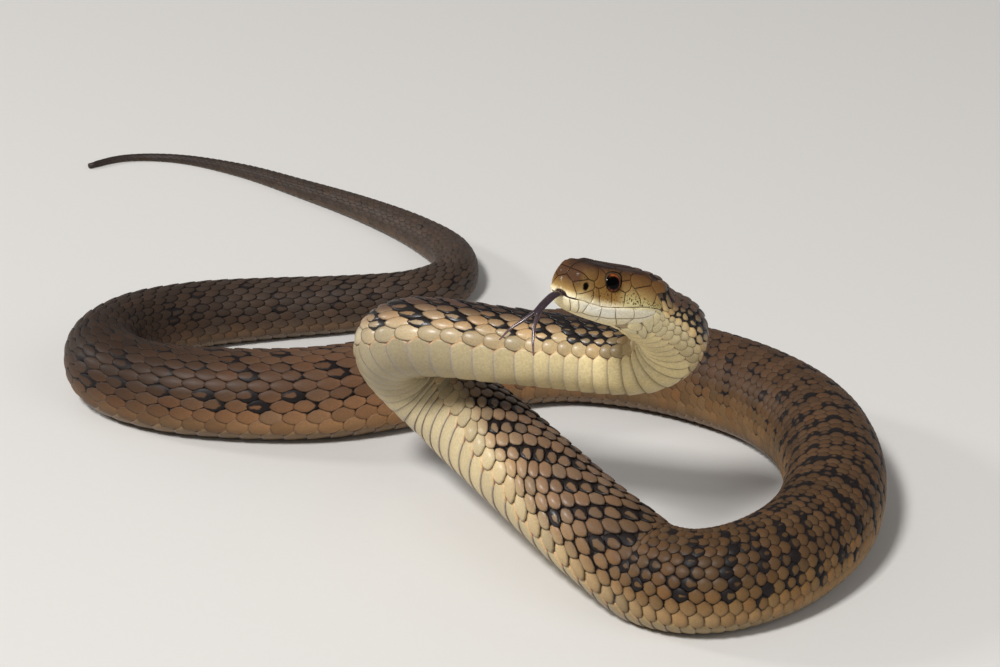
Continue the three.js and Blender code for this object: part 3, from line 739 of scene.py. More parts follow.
def shield_loop(names):
    """Border of a shield as evenly spaced points: names are (mark, mirrored) pairs"""
    first = next(i for i, (name, _) in enumerate(names) if name[0].isupper())
    names = names[first:] + names[:first] + [names[first]]
    loop, run = [], [mark_place(*names[0])]
    for name, mirror in names[1:]:
        run.append(mark_place(name, mirror))
        if name[0].isupper():
            way = np.array(run)
            if len(way) > 2:
                way = catmull_rom(np.vstack([2 * way[0] - way[1], way]), BORDER_SAMPLES)
            walked = np.concatenate([[0], np.cumsum(np.linalg.norm(np.diff(way, axis=0), axis=1))])
            count = max(3, round(walked[-1] / BORDER_STEP))
            at = np.linspace(0, walked[-1], count + 1)[:-1]
            loop.append(np.stack([np.interp(at, walked, way[:, k]) for k in range(3)], 1))
            run = [run[-1]]
    return np.vstack(loop)


def shield_jobs():
    """Name and border of every shield: the twins, and the middle ones, which close round the right side"""
    for name, marks in SHIELDS.items():
        for mirror in (False, True):
            yield name, [(m, mirror) for m in marks.split()]
    for name, marks in MIDDLE_SHIELDS.items():
        marks = marks.split()
        back = [(m, True) for m in reversed(marks) if not on_middle(m)]
        yield name, [(m, False) for m in marks] + back


# Rings of a shield from its underside up: mm in from the border and height, then share of the rim and height.
# The nasal shield has more rings inside, for the nostril.
SHIELD_RINGS = ((0.0, -0.3), (0.0, 0.0), (0.07, 0.085), (0.2, 0.14))
SHIELD_FILL = ((0.72, 0.17), (0.42, 0.19), (0.18, 0.2))
NASAL_FILL = ((0.8, 0.15), (0.62, 0.16), (0.52, 0.16), (0.42, 0.16), (0.32, 0.16), (0.2, 0.16), (0.1, 0.16))
# How much of the groove's colour each of the rings takes.
RIM_SHARES = [1.0, 0.95, 0.4, 0.05]
# Middle of the nostril, as mm from the snout and share round the head, its half axes and its depth in mm.
NOSTRIL = (2.1, 0.437)
NOSTRIL_SIZE = (0.66, 1.05)
NOSTRIL_DEPTH = 0.22


def shield_mesh(loop, shell, gap, raised, centre=None, fill=SHIELD_FILL):
    """Points, normals, faces, places (s, v) and rim shares of one closed shield within a loop"""
    place, normal, _ = shell.land(loop)
    middle = place.mean(0) if centre is None else centre
    mean = normal.mean(0)
    turn = np.cross(place - middle, np.roll(place, -1, 0) - middle).sum(0) @ mean
    if turn < 0:
        place, normal = place[::-1], normal[::-1]
    along_it = np.roll(place, -1, 0) - np.roll(place, 1, 0)
    inward = unit(np.cross(normal, along_it) + 1e-12)
    rings, rim = [], None
    for inset, height in SHIELD_RINGS:
        spot, up, where = shell.land(place + inward * (gap + inset))
        rings.append((spot, up, where, height))
        rim = spot
    for share, height in fill:
        spot, up, where = shell.land(middle + (rim - middle) * share)
        rings.append((spot, up, where, height))
    spot, up, where = shell.land(np.array([middle]))
    top, underside = spot + up * rings[-1][3] * raised, spot - up * 0.3 * raised
    points = [r[0] + r[1] * r[3] * raised for r in rings] + [top, underside]
    wheres = [r[2] for r in rings] + [where, where]
    n, m = len(place), len(rings)
    j = np.arange(n)
    k = (j + 1) % n
    last = (m - 1) * n
    quads = [np.stack([r * n + j, r * n + k, (r + 1) * n + k, (r + 1) * n + j], 1) for r in range(m - 1)]
    tris = [np.stack([last + j, last + k, np.full(n, m * n)], 1), np.stack([k, j, np.full(n, m * n + 1)], 1)]
    rim_share = np.concatenate([np.repeat(RIM_SHARES + [0] * len(fill), n), [0, 1]])
    normals = np.vstack([r[1] for r in rings] + [up, up])
    return np.vstack(points), normals, np.vstack(quads), np.vstack(tris), np.vstack(wheres), rim_share


# Eight-bit colours by share round the head: round the eyes, behind them and on the snout.
TOP_TONES = [
    (0, (40, 29, 26)), (0.2, (50, 36, 30)), (0.3, (90, 63, 41)), (0.37, (118, 84, 46)),
    (0.43, (130, 96, 50)), (0.5, (142, 107, 58)), (0.525, (196, 170, 122)), (0.545, (234, 219, 180)),
    (0.59, (248, 242, 224)), (0.68, (246, 241, 222)), (0.78, (228, 214, 176)), (1.0, (222, 204, 158)),
]
REAR_TONES = [
    (0, (50, 36, 31)), (0.2, (64, 46, 37)), (0.3, (108, 75, 45)), (0.35, (128, 93, 54)),
    (0.4, (164, 136, 86)), (0.45, (192, 174, 118)), (0.51, (214, 200, 148)), (0.55, (226, 212, 164)),
    (0.59, (246, 238, 214)), (0.68, (238, 228, 200)), (0.78, (224, 208, 166)), (1.0, (218, 200, 152)),
]
SNOUT_TONES = [
    (0, (62, 44, 34)), (0.25, (86, 61, 43)), (0.38, (118, 90, 52)), (0.48, (156, 126, 78)),
    (0.55, (226, 208, 162)), (0.6, (240, 232, 204)), (0.75, (232, 218, 180)), (1.0, (224, 206, 162)),
]


def freckles(s, v):
    """Share of the sides of the head that dark freckles cover"""
    v = np.abs(v)
    cheek = smoothstep(11, 15, s) * window((0.36, 0.42, 0.5, 0.55), v)
    lips = fade(11, 14, s) * window((0.4, 0.46, 0.53, 0.56), v) * smoothstep(2, 5, s)
    return 0.75 * cheek + 0.6 * lips


def tone_at(tones, v):
    """Colour at share v from a table of (share, eight-bit colour)"""
    shares, colours = zip(*tones)
    table = np.array([colour(*c) for c in colours])
    return np.stack([np.interp(v, shares, table[:, k]) for k in range(3)], -1)


def head_colour(s, v, up):
    """Plain colour of the head; the tip of the snout goes by the height up over it instead of v"""
    low = 0.2 + 0.37 * np.clip((2.6 - up) / 4.2, 0, 1.1)
    v = np.abs(v) + (low - np.abs(v)) * fade(0.5, 1.6, s) * (np.abs(v) < 0.62)
    front = blend_colours(tone_at(SNOUT_TONES, v), tone_at(TOP_TONES, v), smoothstep(1.5, 6, s))
    return blend_colours(front, tone_at(REAR_TONES, v), smoothstep(11, 16, s))


def groove_colour(v, look):
    """Colour of the grooves between the shields, which are pale on the lips"""
    groove = blend_colours(np.array(look.top_groove), LIP_GROOVE, smoothstep(0.5, 0.58, v))
    return blend_colours(groove, CHIN_GROOVE, smoothstep(0.63, 0.67, v))


def nostril_pit(points, centre, rim):
    """How far points of the nasal shield lie inside the nostril, 0 to 1"""
    axes = (head_direction(1, 0, 0), head_direction(0, 0, 1))
    reach = np.hypot(*((points - centre) @ axis / size for axis, size in zip(axes, NOSTRIL_SIZE)))
    return fade(0.85, 1.05, reach) * (rim < 0.9)


def make_shields(look):
    """Every shield of the head as a closed raised plate with a groove round it"""
    shell = HeadSurface()
    tip, upward = head_place(0, 0, 0), head_direction(0, 0, 1)
    rng = np.random.default_rng(SHIELD_SEED)
    points, quads, tris, tones, places, base = [], [], [], [], [], 0
    for name, marks in shield_jobs():
        centre, fill = None, SHIELD_FILL
        if name == "nasal":
            side = -1 if marks[0][1] else 1
            centre, fill = skin_point([NOSTRIL[0]], [side * NOSTRIL[1]])[0], NASAL_FILL
        shield = shield_mesh(shield_loop(marks), shell, look.gap / MM, look.height, centre, fill)
        spots, up, fours, threes, where, rim = shield
        s, v = where.T
        tone = head_colour(s, v, (spots - tip) @ upward) * rng.uniform(0.93, 1.06)
        if name == "nasal":
            pit = nostril_pit(spots, centre, rim)
            spots = spots - up * (NOSTRIL_DEPTH * pit)[:, None]
            # The nostril's pit is painted near black, as its shade.
            tone = blend_colours(tone, NOSTRIL_SHADE, pit)
        tone = blend_colours(tone, groove_colour(np.abs(v), look), rim * 0.8)
        eye = np.hypot((s - EYE_RING[0]) / EYE_RING[2], (np.abs(v) - EYE_RING[1]) / EYE_RING[3])
        tone = blend_colours(tone, EYE_OPENING, fade(1.0, 1.08, eye))
        points.append(spots)
        quads.append(fours + base)
        tris.append(threes + base)
        tones.append(np.hstack([tone, freckles(s, v)[:, None]]))
        places.append(where)
        base += len(spots)
    points, quads, tris, tones, places = (np.vstack(part) for part in (points, quads, tris, tones, places))
    return mesh_piece("head_shields", points, [quads, tris], tones, unwrap_place(*places.T))


# ---------------------------------------------------------------- skin

# Points round the skin, and millimetres between its rings on the head and on the body.
SKIN_SIDES = 96
HEAD_STEP, BODY_STEP = 0.4, 1.8
# How far the skin lies below the drawn surface, as a share of its full depth, to leave room for the scales.
COAT_DEPTH = ((0, 0.72), (30, 0.72), (60, 1), (700, 1), (800, 0.62), (878, 0.29))


def skin_places():
    """Millimetres from the snout at which the skin has a ring of points"""
    head = np.concatenate([[0.0, 0.05, 0.12, 0.22, 0.34], np.arange(0.5, 34, HEAD_STEP)])
    body = np.linspace(head[-1] + 1, LENGTH, int((LENGTH - head[-1]) / BODY_STEP))
    return np.concatenate([head, body])


def skin_colour(s, v, look):
    """Colour of the skin seen in the grooves between the scales"""
    seam, v = np.array(look.seam), np.abs(v)
    under = blend_colours(np.array(look.low_seam), seam, smoothstep(240, 270, s))
    tone = blend_colours(seam, under, smoothstep(0.55, 0.66, v))
    head = blend_colours(CROWN_SEAM, BROW_SEAM, smoothstep(0.22, 0.34, v))
    rear = np.maximum(smoothstep(18, 22, s), smoothstep(0.62, 0.68, v))
    head = blend_colours(head, blend_colours(LIP_SEAM, CHEEK_SEAM, rear), smoothstep(0.5, 0.58, v))
    tone = blend_colours(tone, head, fade(26, 34, s))
    mouth = fade(1.2, 2.6, s) * window((0.5, 0.56, 0.66, 0.74), v)
    return blend_colours(tone, np.array(look.mouth), mouth)


def make_skin(look):
    """One closed skin from the snout to the tip of the tail, without a seam"""
    places = skin_places()
    depth = look.depth / MM

    def where(row, turn):
        return places[row], 2 * turn / SKIN_SIDES - 1

    def shape(row, turn):
        s, v = where(row, turn)
        return surface(s, v, -depth * np.interp(s, *zip(*COAT_DEPTH)))

    def tone(row, turn):
        return skin_colour(*where(row, turn), look)

    def unwrap(row, turn):
        s, v = where(row, turn)
        top = (np.floor(s.min(-1, keepdims=True) / STRIP_LENGTH) + 1) * STRIP_LENGTH - 1e-3
        return unwrap_place(np.minimum(s, top), v)

    return rolled_tube("skin", len(places), SKIN_SIDES, shape, tone, unwrap)


# ---------------------------------------------------------------- scales

# Distance between the rows of small scales, as a share of half of the way round.
ROW_PITCH = 0.0754
ROWS_HALF = BELLY_EDGE / ROW_PITCH
# Rows on each side of the back, rows with those of the throat, and the place where the belly's plates begin.
LOW_ROW = 8
THROAT_ROW = 13
BELLY_START = 28.5
# Sides of a scale, insets of its top as shares of its radius, how uneven the scales' sizes are, and how much
# longer those of the throat are.
SCALE_SIDES = 12
SCALE_INSETS = (0.18, 0.32)
UNEVEN = (0.97, 1.03)
THROAT_STRETCH = 1.9
# Powers of the outlines of a pointed scale and of a full one in the lowest row.
POINTED, FULL = 1.65, 2.5
# Half width in millimetres of a scale whose relief is as given.
USUAL_HALF_WIDTH = 2.0
# Length of backbone from one scale to the next of its row.
SCALE_PITCHES = [
    (0, 2.4), (22, 2.5), (30, 2.7), (40, 3.0), (50, 3.3), (60, 3.5), (82, 3.7), (90, 4.9), (112, 4.95),
    (122, 4.3), (150, 4.1), (180, 4.8), (200, 5.6), (226, 5.6), (236, 4.2), (246, 3.2), (256, 2.35),
    (268, 2.45), (340, 2.5), (400, 3.2), (450, 4.6), (490, 5.3), (560, 5.3), (610, 4.6), (700, 3.8),
    (760, 3.1), (820, 2.5), (878, 1.8),
]
# Rows of small scales on each side of the back, which grow fewer on the tail.
TAIL_ROWS = [(0, ROWS_HALF), (690, ROWS_HALF), (735, 7.2), (790, 5.2), (840, 3.6), (878, 2.6)]
# Where the small scales begin behind the shields of the head: share round the head, then place.
SCALES_START = [
    (0, 25.4), (0.2, 25.6), (0.26, 26.5), (0.3, 29.6), (0.35, 29.6), (0.38, 26.8), (0.42, 27.6),
    (0.47, 26.9), (0.5, 25.8), (0.6, 25.6), (0.66, 26.6), (0.7, 25.4), (0.75, 22.6), (0.79, 19.6),
    (0.84, 18.6), (1.0, 18.4),
]
# Strength of the dark marks by millimetres from the snout.
INK_STRENGTH = [
    (0, 1), (50, 1), (65, 1.4), (140, 1.4), (170, 1.05), (300, 0.95), (340, 0.8), (390, 0.5), (430, 0.5),
    (490, 0.75), (700, 0.6), (760, 0.35),
]
# Where the dark marks behind the head are, with the painted shadow of the head among them: edges along the
# body in mm, or as shares of the way round it.
COLLAR, COLLAR_ROUND = (31, 35, 43, 48), (0.18, 0.26, 0.4, 0.47)
# Painted shadow that the head casts on the neck, laid on as dark marks and as a darker ground.
HEAD_SHADOW = (60, 66, 80, 92)
# Dark pattern on the neck's back together with painted shadow of the head.
NECK_PATTERN_AND_SHADOW = (60, 74, 106, 128)
DEEP_BANDS = (55, 70, 150, 190)
# Where the scales have broad dark outlines, and the share of scales that are dark outside the crossbands.
OUTLINED = (215, 240, 330, 420)
STRAY_SHARE = 0.12


def column_table():
    """Millimetres from the snout, and how many scales of one row lie before each"""
    s = np.arange(0, LENGTH + 0.01, 0.25)
    pitch = along(SCALE_PITCHES, s)
    count = np.concatenate([[0], np.cumsum(0.5 * (1 / pitch[1:] + 1 / pitch[:-1]) * np.diff(s))])
    return s, count


COLUMN_S, COLUMN_COUNT = column_table()


def column_place(column):
    """Millimetres from the snout of a scale that has this many before it in its row"""
    return np.interp(column, COLUMN_COUNT, COLUMN_S)


def scale_cells(first, last):
    """Place (s, v), row, width, column and share of the rows for every small scale between two places"""
    found = []
    for row in range(-THROAT_ROW, THROAT_ROW):
        columns = np.arange(math.floor(COLUMN_COUNT[-1])) + (0.5 if row % 2 else 0.0)
        s = column_place(columns)
        rows_half = along(TAIL_ROWS, s)
        pitch = BELLY_EDGE / rows_half
        outer = np.floor(rows_half - 0.2)
        width = np.where(abs(row) == outer, rows_half - outer + 0.5, 1.0)
        v = np.sign(row) * (abs(row) - 0.5 + width / 2) * pitch if row else np.zeros_like(s)
        keep = abs(row) <= outer
        if abs(row) > LOW_ROW:
            v = np.full_like(s, np.sign(row) * (ROWS_HALF + abs(row) - LOW_ROW - 0.5) * ROW_PITCH)
            keep = (s < BELLY_START - 0.6) & ((np.floor(columns) + row // 2) % 2 == 0)
        start = np.interp(np.abs(v), *zip(*SCALES_START))
        keep &= (s >= first) & (s < last) & (s > start)
        cells = np.stack([s, v, np.full_like(s, row), width * pitch, columns, abs(row) / outer], 1)
        found.append(cells[keep])
    return np.vstack(found)


def scale_template():
    """One scale seen from above: angle, radius, whether the point is on its underside, and its faces"""
    deselect_all()
    bpy.ops.mesh.primitive_cylinder_add(
        vertices=SCALE_SIDES, radius=1, depth=0.3, end_fill_type="NGON", calc_uvs=False)
    piece = bpy.context.object
    bpy.ops.object.mode_set(mode="EDIT")
    pick_faces(piece, lambda face: face.normal.z > 0.9)
    for inset in SCALE_INSETS:
        bpy.ops.mesh.inset(thickness=inset)
    bpy.ops.mesh.poke()
    bpy.ops.object.mode_set(mode="OBJECT")
    points, faces = read_template(piece)
    radius = np.hypot(points[:, 0], points[:, 1])
    return np.arctan2(points[:, 1], points[:, 0]), np.where(radius < 0.01, 0, radius), points[:, 2] < 0, faces


def superellipse(angle, power):
    """Point at an angle of an outline between a lozenge, a circle and a square"""
    c, d = np.cos(angle), np.sin(angle)
    return np.sign(c) * np.abs(c) ** (2 / power), np.sign(d) * np.abs(d) ** (2 / power)


def make_scales(name, first, last, template, look):
    """Copies of one scale between two places, in rows, each its own closed body, joined in one mesh"""
    angle, radius, below, faces = template
    cells = scale_cells(first, last)
    count = len(cells)
    s0, v0, row, width, _, share = cells.T
    rng = np.random.default_rng(int(first) + SCALE_SEED)
    widest = np.max([stretch(s0, np.full(count, v)) for v in (-0.5, 0, 0.5)], 0)
    here = stretch(s0, v0)
    natural = along(SCALE_PITCHES, s0) * np.clip(0.15 + 0.85 * widest, 1, 1.6)
    half_long = look.length * natural / np.clip(here, 0.8, 1.7) * rng.uniform(*UNEVEN, count)
    half_wide = look.width * width * rng.uniform(*UNEVEN, count) * (1 + 0.2 * np.clip(1 - here, 0, 1))
    throat = np.abs(row) > LOW_ROW
    half_long *= np.where(throat, THROAT_STRETCH, 1.0)
    low = ((share > 0.99) & ~throat)[:, None]
    x_slim, y_slim = superellipse(angle, POINTED)
    x_full, y_full = superellipse(angle, FULL)
    y_full = y_full * (1 + 0.12 * np.abs(np.sin(angle)) ** 6)
    reach = np.where(below, 0.96, radius)
    x = np.where(low, x_full, x_slim) * reach
    y = np.where(low, y_full, y_slim) * reach
    half_round = HALF_ROUND * along(GIRTH, s0)
    size = np.clip(half_wide * half_round / USUAL_HALF_WIDTH, 0.22, 1.2)
    flat = 1 - 0.4 * smoothstep(290, 350, s0)
    dome = look.dome * (flat * size)[:, None] * (1 - radius**2.4)
    tilt = look.tilt * x * (flat * half_long * here)[:, None]
    lift = dome + tilt - size[:, None] * (0.2 + 0.3 * below)
    s = s0[:, None] + x * half_long[:, None]
    v = v0[:, None] + y * half_wide[:, None]
    points = surface(s, v, lift).reshape(-1, 3)
    tone = scale_colours(cells, s, v, x, y, radius, rng, look).reshape(-1, 4)
    patch = PATCH * np.stack([x, y * 0.9], -1) + unwrap_place(s0, v0)[:, None, :]
    return mesh_piece(name, points, copied_faces(faces, len(radius), count), tone, patch.reshape(-1, 2))


def head_shadow_share(s, v):
    """How far a scale lies in the painted shadow that the head casts on the neck, which reaches lower in
    front
    """
    return window(HEAD_SHADOW, s) * fade(0, 0.1, np.abs(v) - 0.56 + 0.24 * smoothstep(70, 88, s))


def scale_ink(cells, rng, look):
    """Strength of the dark marks on each scale: crossbands, stray scales, collar, the neck's dark pattern
    with painted shadow, and the head's painted shadow
    """
    s, v, row, _, column, _ = cells.T
    count = len(cells)
    high = np.abs(v) / BELLY_EDGE
    nape = 1 - 0.6 * fade(28, 50, s) * smoothstep(0.5, 0.62, high)
    deep = window(DEEP_BANDS, s)
    dark = band(s, v, column, row) * fade(0.66 + 0.16 * deep, 0.92 + 0.05 * deep, high)
    dark = dark * nape * rng.uniform(0.35, 1.2, count)
    stray = (rng.random(count) < STRAY_SHARE) * rng.uniform(0.2, 0.7, count) * fade(0.8, 1.0, high)
    collar = 1.3 * window(COLLAR, s) * window(COLLAR_ROUND, np.abs(v)) * rng.uniform(0.6, 1, count)
    dark = np.maximum(np.maximum(dark, stray), collar) * along(INK_STRENGTH, s) * look.ink_share
    # The neck's back: dark pattern with painted shadow of the head over it.
    pattern_and_shadow = 1.4 * window(NECK_PATTERN_AND_SHADOW, s) * fade(0.24, 0.42, np.abs(v)) * rng.uniform(0.6, 1, count)
    return np.maximum(np.maximum(dark, pattern_and_shadow), head_shadow_share(s, v) * rng.uniform(0.7, 1.1, count))


def scale_colours(cells, s, v, x, y, radius, rng, look):
    """Ground colour with lighter rims and dark outlines, and the share of dark marks as a fourth number"""
    s0, v0, row, _, _, share = cells.T
    count = len(cells)
    pale = np.maximum(smoothstep(0.75, 0.95, share), np.abs(row) > LOW_ROW)[:, None]
    neck = fade(40, 60, s0)[:, None]
    even = (1 - 0.55 * pale * neck)[..., None]
    tone = ground_colour(s, v) * (1 + look.variation * even * rng.uniform(-1.1, 1, (count, 1, 1)))
    tone = tone * (1 + even * rng.normal(0, 0.035, (count, 1, 1)) * np.array([1, 0, -1]))
    # Lighter rims towards the front: partly the scales' own pale edges, partly painted highlight where light
    # catches the domes.
    rim = np.clip((radius - 0.3) / 0.6, 0, 1)
    tone = tone * (1 + look.pale_rim_and_highlight * rim * np.clip(-x, -0.4, 1) + 0.08 * rim)[..., None]
    dark = scale_ink(cells, rng, look)[:, None]
    # Darker ground in the head's painted shadow on the neck.
    tone = tone * (1 - 0.4 * head_shadow_share(s0, v0)[:, None, None])
    lean = rng.uniform(-0.6, 0.6, count)[:, None]
    edge = 0.5 * np.abs(y) ** 1.5 * (1 + lean * np.sign(y))
    edge = edge + 0.8 * np.clip(-x, 0, 1) ** 1.1 + 0.15 * radius**3
    whole = (0.5 * smoothstep(200, 300, s0) - 0.35 * smoothstep(400, 480, s0))[:, None]
    spread = np.clip(edge, 0, 1) * 2.1 + whole + rng.uniform(-0.1, 0.4, count)[:, None]
    cover = np.clip(dark * spread - 0.15, 0, 0.97)
    ink = np.array(look.ink)
    tone = blend_colours(tone, ink, 0.4 * cover)
    coil = window(OUTLINED, s0)[:, None]
    border = np.clip((radius - 0.86 + 0.08 * coil) / 0.14, 0, 1)
    border = border * (0.6 * (1 - 0.35 * pale * (1 - neck)) + 0.2 * pale * neck + 0.22 * coil)
    tone = blend_colours(tone, blend_colours(ink * 1.5, NECK_OUTLINE, pale * neck), border)
    return np.concatenate([tone, cover[..., None]], -1)


# ---------------------------------------------------------------- belly plates

# Parts of a plate from side to side, and where its cross lines lie between its front and hind edges.
PLATE_ACROSS = 22
PLATE_ALONG = [-1, -0.82, -0.3, 0.3, 0.8, 1.0]


def plate_template():
    """One plate laid flat: place along and across, whether the point is on its underside, and its faces"""
    deselect_all()
    bpy.ops.mesh.primitive_grid_add(x_subdivisions=len(PLATE_ALONG) - 1, y_subdivisions=PLATE_ACROSS, size=2)
    piece = bpy.context.object
    thick = piece.modifiers.new("thick", "SOLIDIFY")
    thick.thickness = 0.1
    thick.offset = -1
    bpy.ops.object.modifier_apply(modifier="thick")
    points, faces = read_template(piece)
    even = np.linspace(-1, 1, len(PLATE_ALONG))
    return np.interp(points[:, 0], even, PLATE_ALONG), points[:, 1], points[:, 2] < -0.05, faces


def make_belly(name, first, last, template, look):
    """Copies of one plate between two places, each from side to side of the belly, joined in one mesh"""
    a, b, below, faces = template
    s0 = column_place(np.arange(math.ceil(COLUMN_COUNT[-1])) + 0.5)
    s0 = s0[(s0 >= max(first, BELLY_START)) & (s0 < last)]
    count = len(s0)
    rng = np.random.default_rng(int(first) + PLATE_SEED)
    reach = (1 - BELLY_EDGE) + 0.035 - 0.08 * np.abs(a) ** 1.4
    s = s0[:, None] + a * (look.length * along(SCALE_PITCHES, s0))[:, None]
    v = np.broadcast_to(1 - b * reach, s.shape)
    v = np.where(v > 1, v - 2, v)
    thin = np.clip(along(GIRTH, s0) / 9, 0.2, 1)[:, None]
    neck = fade(60, 80, s0)[:, None]
    edge = np.clip((1 - np.abs(b)) / 0.06, 0, 1)
    crown = 0.16 * (1 - np.abs(a) ** 3) * edge - 0.12 * (1 - edge)
    lift = thin * (-0.16 + (look.tilt + 0.13 * neck) * a + crown - look.thickness / MM * below)
    points = surface(s, v, lift).reshape(-1, 3)
    plain = station_colour(BELLY_COLOURS, s)
    cloudy = np.array(look.shade) * plain / BELLY_COLOURS[2]
    tone = blend_colours(plain, cloudy, 0.2 + 0.25 * wander(s, v, CLOUD_SEED))
    tone = tone * rng.uniform(0.93, 1.06, (count, 1, 1))
    # On the neck the plates' pale edge lines turn brown: painted shadow where the plates overlap.
    line = blend_colours(np.array(look.line), NECK_PLATE_SHADOW, neck)
    tone = blend_colours(tone, line, np.clip((np.abs(a) - 0.78) / 0.2, 0, 1) * (0.7 + 0.15 * neck))
    tone = blend_colours(tone, np.array(look.blush), (edge < 0.5) * 0.45 * fade(230, 260, s))
    patch = unwrap_place(np.broadcast_to(s0[:, None], s.shape), v) + PATCH * np.stack([a, 0 * a], -1)
    tone, patch = tone.reshape(-1, 3), patch.reshape(-1, 2)
    return mesh_piece(name, points, copied_faces(faces, len(a), count), tone, patch)


# ---------------------------------------------------------------- eyes and tongue

# Middle of an eye's ball, the direction it looks in and its flatness: mm behind, to the side and up.
EYE_AT = (10.4, 4.75, 3.35)
EYE_LOOKS = (-0.42, 0.89, 0.2)
EYE_FLATNESS = 0.86
# Middle lines of the tongue's stem and tines, as mm behind, to the right and up from the tip of the snout.
TONGUE_STEM = [(3.2, 0, -1.9), (1.0, 0, -2.0), (-1.6, 0, -2.7), (-4.2, 0, -5.3), (-6.2, 0, -8.3)]
TINES = [
    [(-5.6, 0.4, -7.4), (-7.6, 1.7, -10.4), (-9.4, 3.2, -13.4), (-10.2, 4.3, -16.2)],
    [(-5.6, -0.4, -7.4), (-7.0, -1.7, -10.8), (-7.6, -3.2, -14.0), (-7.7, -4.7, -16.8)],
]
# Points round each part of the tongue, its corner on the map, and its steps there by ring and by point.
TONGUE_SIDES = 16
TONGUE_CORNER = 0.4
TONGUE_STEPS = (0.002, 0.01)
# Line of each part, shares of width and of thickness at both ends, points for each span, and whether it takes
# the tips' colour.
TONGUE_PARTS = [(TONGUE_STEM, (1, 0.88), (1, 0.92), 8, 0)]
TONGUE_PARTS += [(tine, (0.5, 0.14), (0.8, 0.3), 10, 1) for tine in TINES]


def make_eye(name, side, look):
    """A ball flattened along its axis and turned to look out of the side of the head"""
    deselect_all()
    bpy.ops.mesh.primitive_uv_sphere_add(segments=48, ring_count=26, radius=look.radius)
    piece, mesh = named_piece(name)
    points = unit(read_points(mesh))
    bpy.ops.object.mode_set(mode="EDIT")
    bpy.ops.mesh.select_all(action="SELECT")
    bpy.ops.transform.resize(value=(1, 1, EYE_FLATNESS))
    bpy.ops.object.mode_set(mode="OBJECT")
    bpy.ops.object.shade_smooth()
    axis = head_direction(EYE_LOOKS[0], side * EYE_LOOKS[1], EYE_LOOKS[2])
    across = unit(np.cross(head_direction(0, 0, 1), axis))
    upward = np.cross(axis, across)
    placed = np.eye(4)
    placed[:3, :3] = np.stack([across, upward, axis], 1)
    placed[:3, 3] = head_place(EYE_AT[0], side * EYE_AT[1], EYE_AT[2]) * MM
    mesh.transform(Matrix(placed))
    paint(piece, eye_colours(points, np.stack([across, upward, axis]), look))
    mesh.uv_layers[0].name = "OFBake"
    return piece


def eye_colours(points, axes, look):
    """Black pupil, streaked iris that is darker towards the snout, and a dark rim, on a ball of radius 1"""
    share = np.arccos(np.clip(points[:, 2], -1, 1))
    radial = np.arctan2(points[:, 1], points[:, 0])
    streak = 0.5 + 0.5 * np.sin(radial * 23 + 3 * np.sin(radial * 7))
    iris = blend_colours(np.array(look.iris), np.array(look.iris_streaks), streak)
    iris = blend_colours(iris, np.array(look.iris_top), 0.7 * smoothstep(0.2, 0.9, points[:, 1]))
    ahead = (points @ axes - axes[2]) @ head_direction(-1, 0, 0)
    iris = blend_colours(iris, IRIS_FRONT, smoothstep(0.12, 0.4, ahead))
    tone = blend_colours(PUPIL_BLACK, iris, (share - look.pupil) / 0.06)
    return blend_colours(tone, EYE_RIM, (share - 0.88) / 0.12)


def tube_rings(line, wide, thick, count):
    """Centres and half axes of the rings of a flat tube along points of the head, from its root to its tip"""
    line = np.array(line, float)
    path = catmull_rom(np.vstack([2 * line[0] - line[1], line]), count)
    share = np.linspace(0, 1, len(path))
    tangent = unit(np.gradient(path, axis=0))
    across = unit(np.array([0, 1.0, 0]) - tangent * tangent[:, 1:2])
    over = np.cross(tangent, across)
    half_wide, half_thick = (np.interp(share, [0, 1], ends)[:, None] / 2 for ends in (wide, thick))
    return path, across * half_wide, over * half_thick


def make_tongue(look):
    """A flat stem and two tines, each a closed tube, joined in one piece"""
    stem, tip = np.array(look.stem), np.array(look.tip)
    parts = []
    for line, wide, thick, count, pale in TONGUE_PARTS:
        wide, thick = np.array(wide) * look.width / MM, np.array(thick) * look.thickness / MM
        path, across, over = tube_rings(line, wide, thick, count)

        def shape(row, turn):
            round_it = 2 * math.pi * turn[:, None] / TONGUE_SIDES
            spots = path[row] + across[row] * np.cos(round_it) + over[row] * np.sin(round_it)
            return np.array([head_place(*spot) for spot in spots])

        def tone(row, turn):
            return blend_colours(stem, tip, pale * row / (len(path) - 1))

        def unwrap(row, turn):
            return TONGUE_CORNER + np.stack([TONGUE_STEPS[0] * row, TONGUE_STEPS[1] * turn], -1)

        parts.append(rolled_tube("forked_tongue", len(path), TONGUE_SIDES, shape, tone, unwrap))
    deselect_all()
    for part in parts:
        part.select_set(True)
    bpy.context.view_layer.objects.active = parts[0]
    bpy.ops.object.join()
    return parts[0]


# ---------------------------------------------------------------- materials

# Darkest and lightest of the fine grain, height of its relief in metres, and how gradually marks begin.
GRAIN_TONES = (0.86, 1.1)
GRAIN_RELIEF = 0.0001
MARK_EDGE = 0.12


def new_material(name):
    """A material with nodes, their tree and their shader"""
    material = bpy.data.materials.new(name)
    material.use_nodes = True
    return material, material.node_tree, material.node_tree.nodes["Principled BSDF"]


def feed(tree, node, inputs):
    """Give each named input its value, or a link where the value is another node's output"""
    for name, value in inputs.items():
        if isinstance(value, bpy.types.NodeSocket):
            tree.links.new(value, node.inputs[name])
        else:
            node.inputs[name].default_value = value


def add_node(tree, kind, inputs, output, **settings):
    """Add a node of a kind with its settings and inputs, and return one of its outputs"""
    node = tree.nodes.new("ShaderNode" + kind)
    for setting, value in settings.items():
        setattr(node, setting, value)
    feed(tree, node, inputs)
    return node.outputs[output]


def add_math(tree, operation, *values):
    """Add a node that reckons with its values"""
    return add_node(tree, "Math", dict(enumerate(values)), "Value", operation=operation)


def map_range(tree, value, first, last, low=0.0, high=1.0):
    """Add a node that turns first to last into low to high"""
    inputs = {"Value": value, "From Min": first, "From Max": last, "To Min": low, "To Max": high}
    return add_node(tree, "MapRange", inputs, "Result")


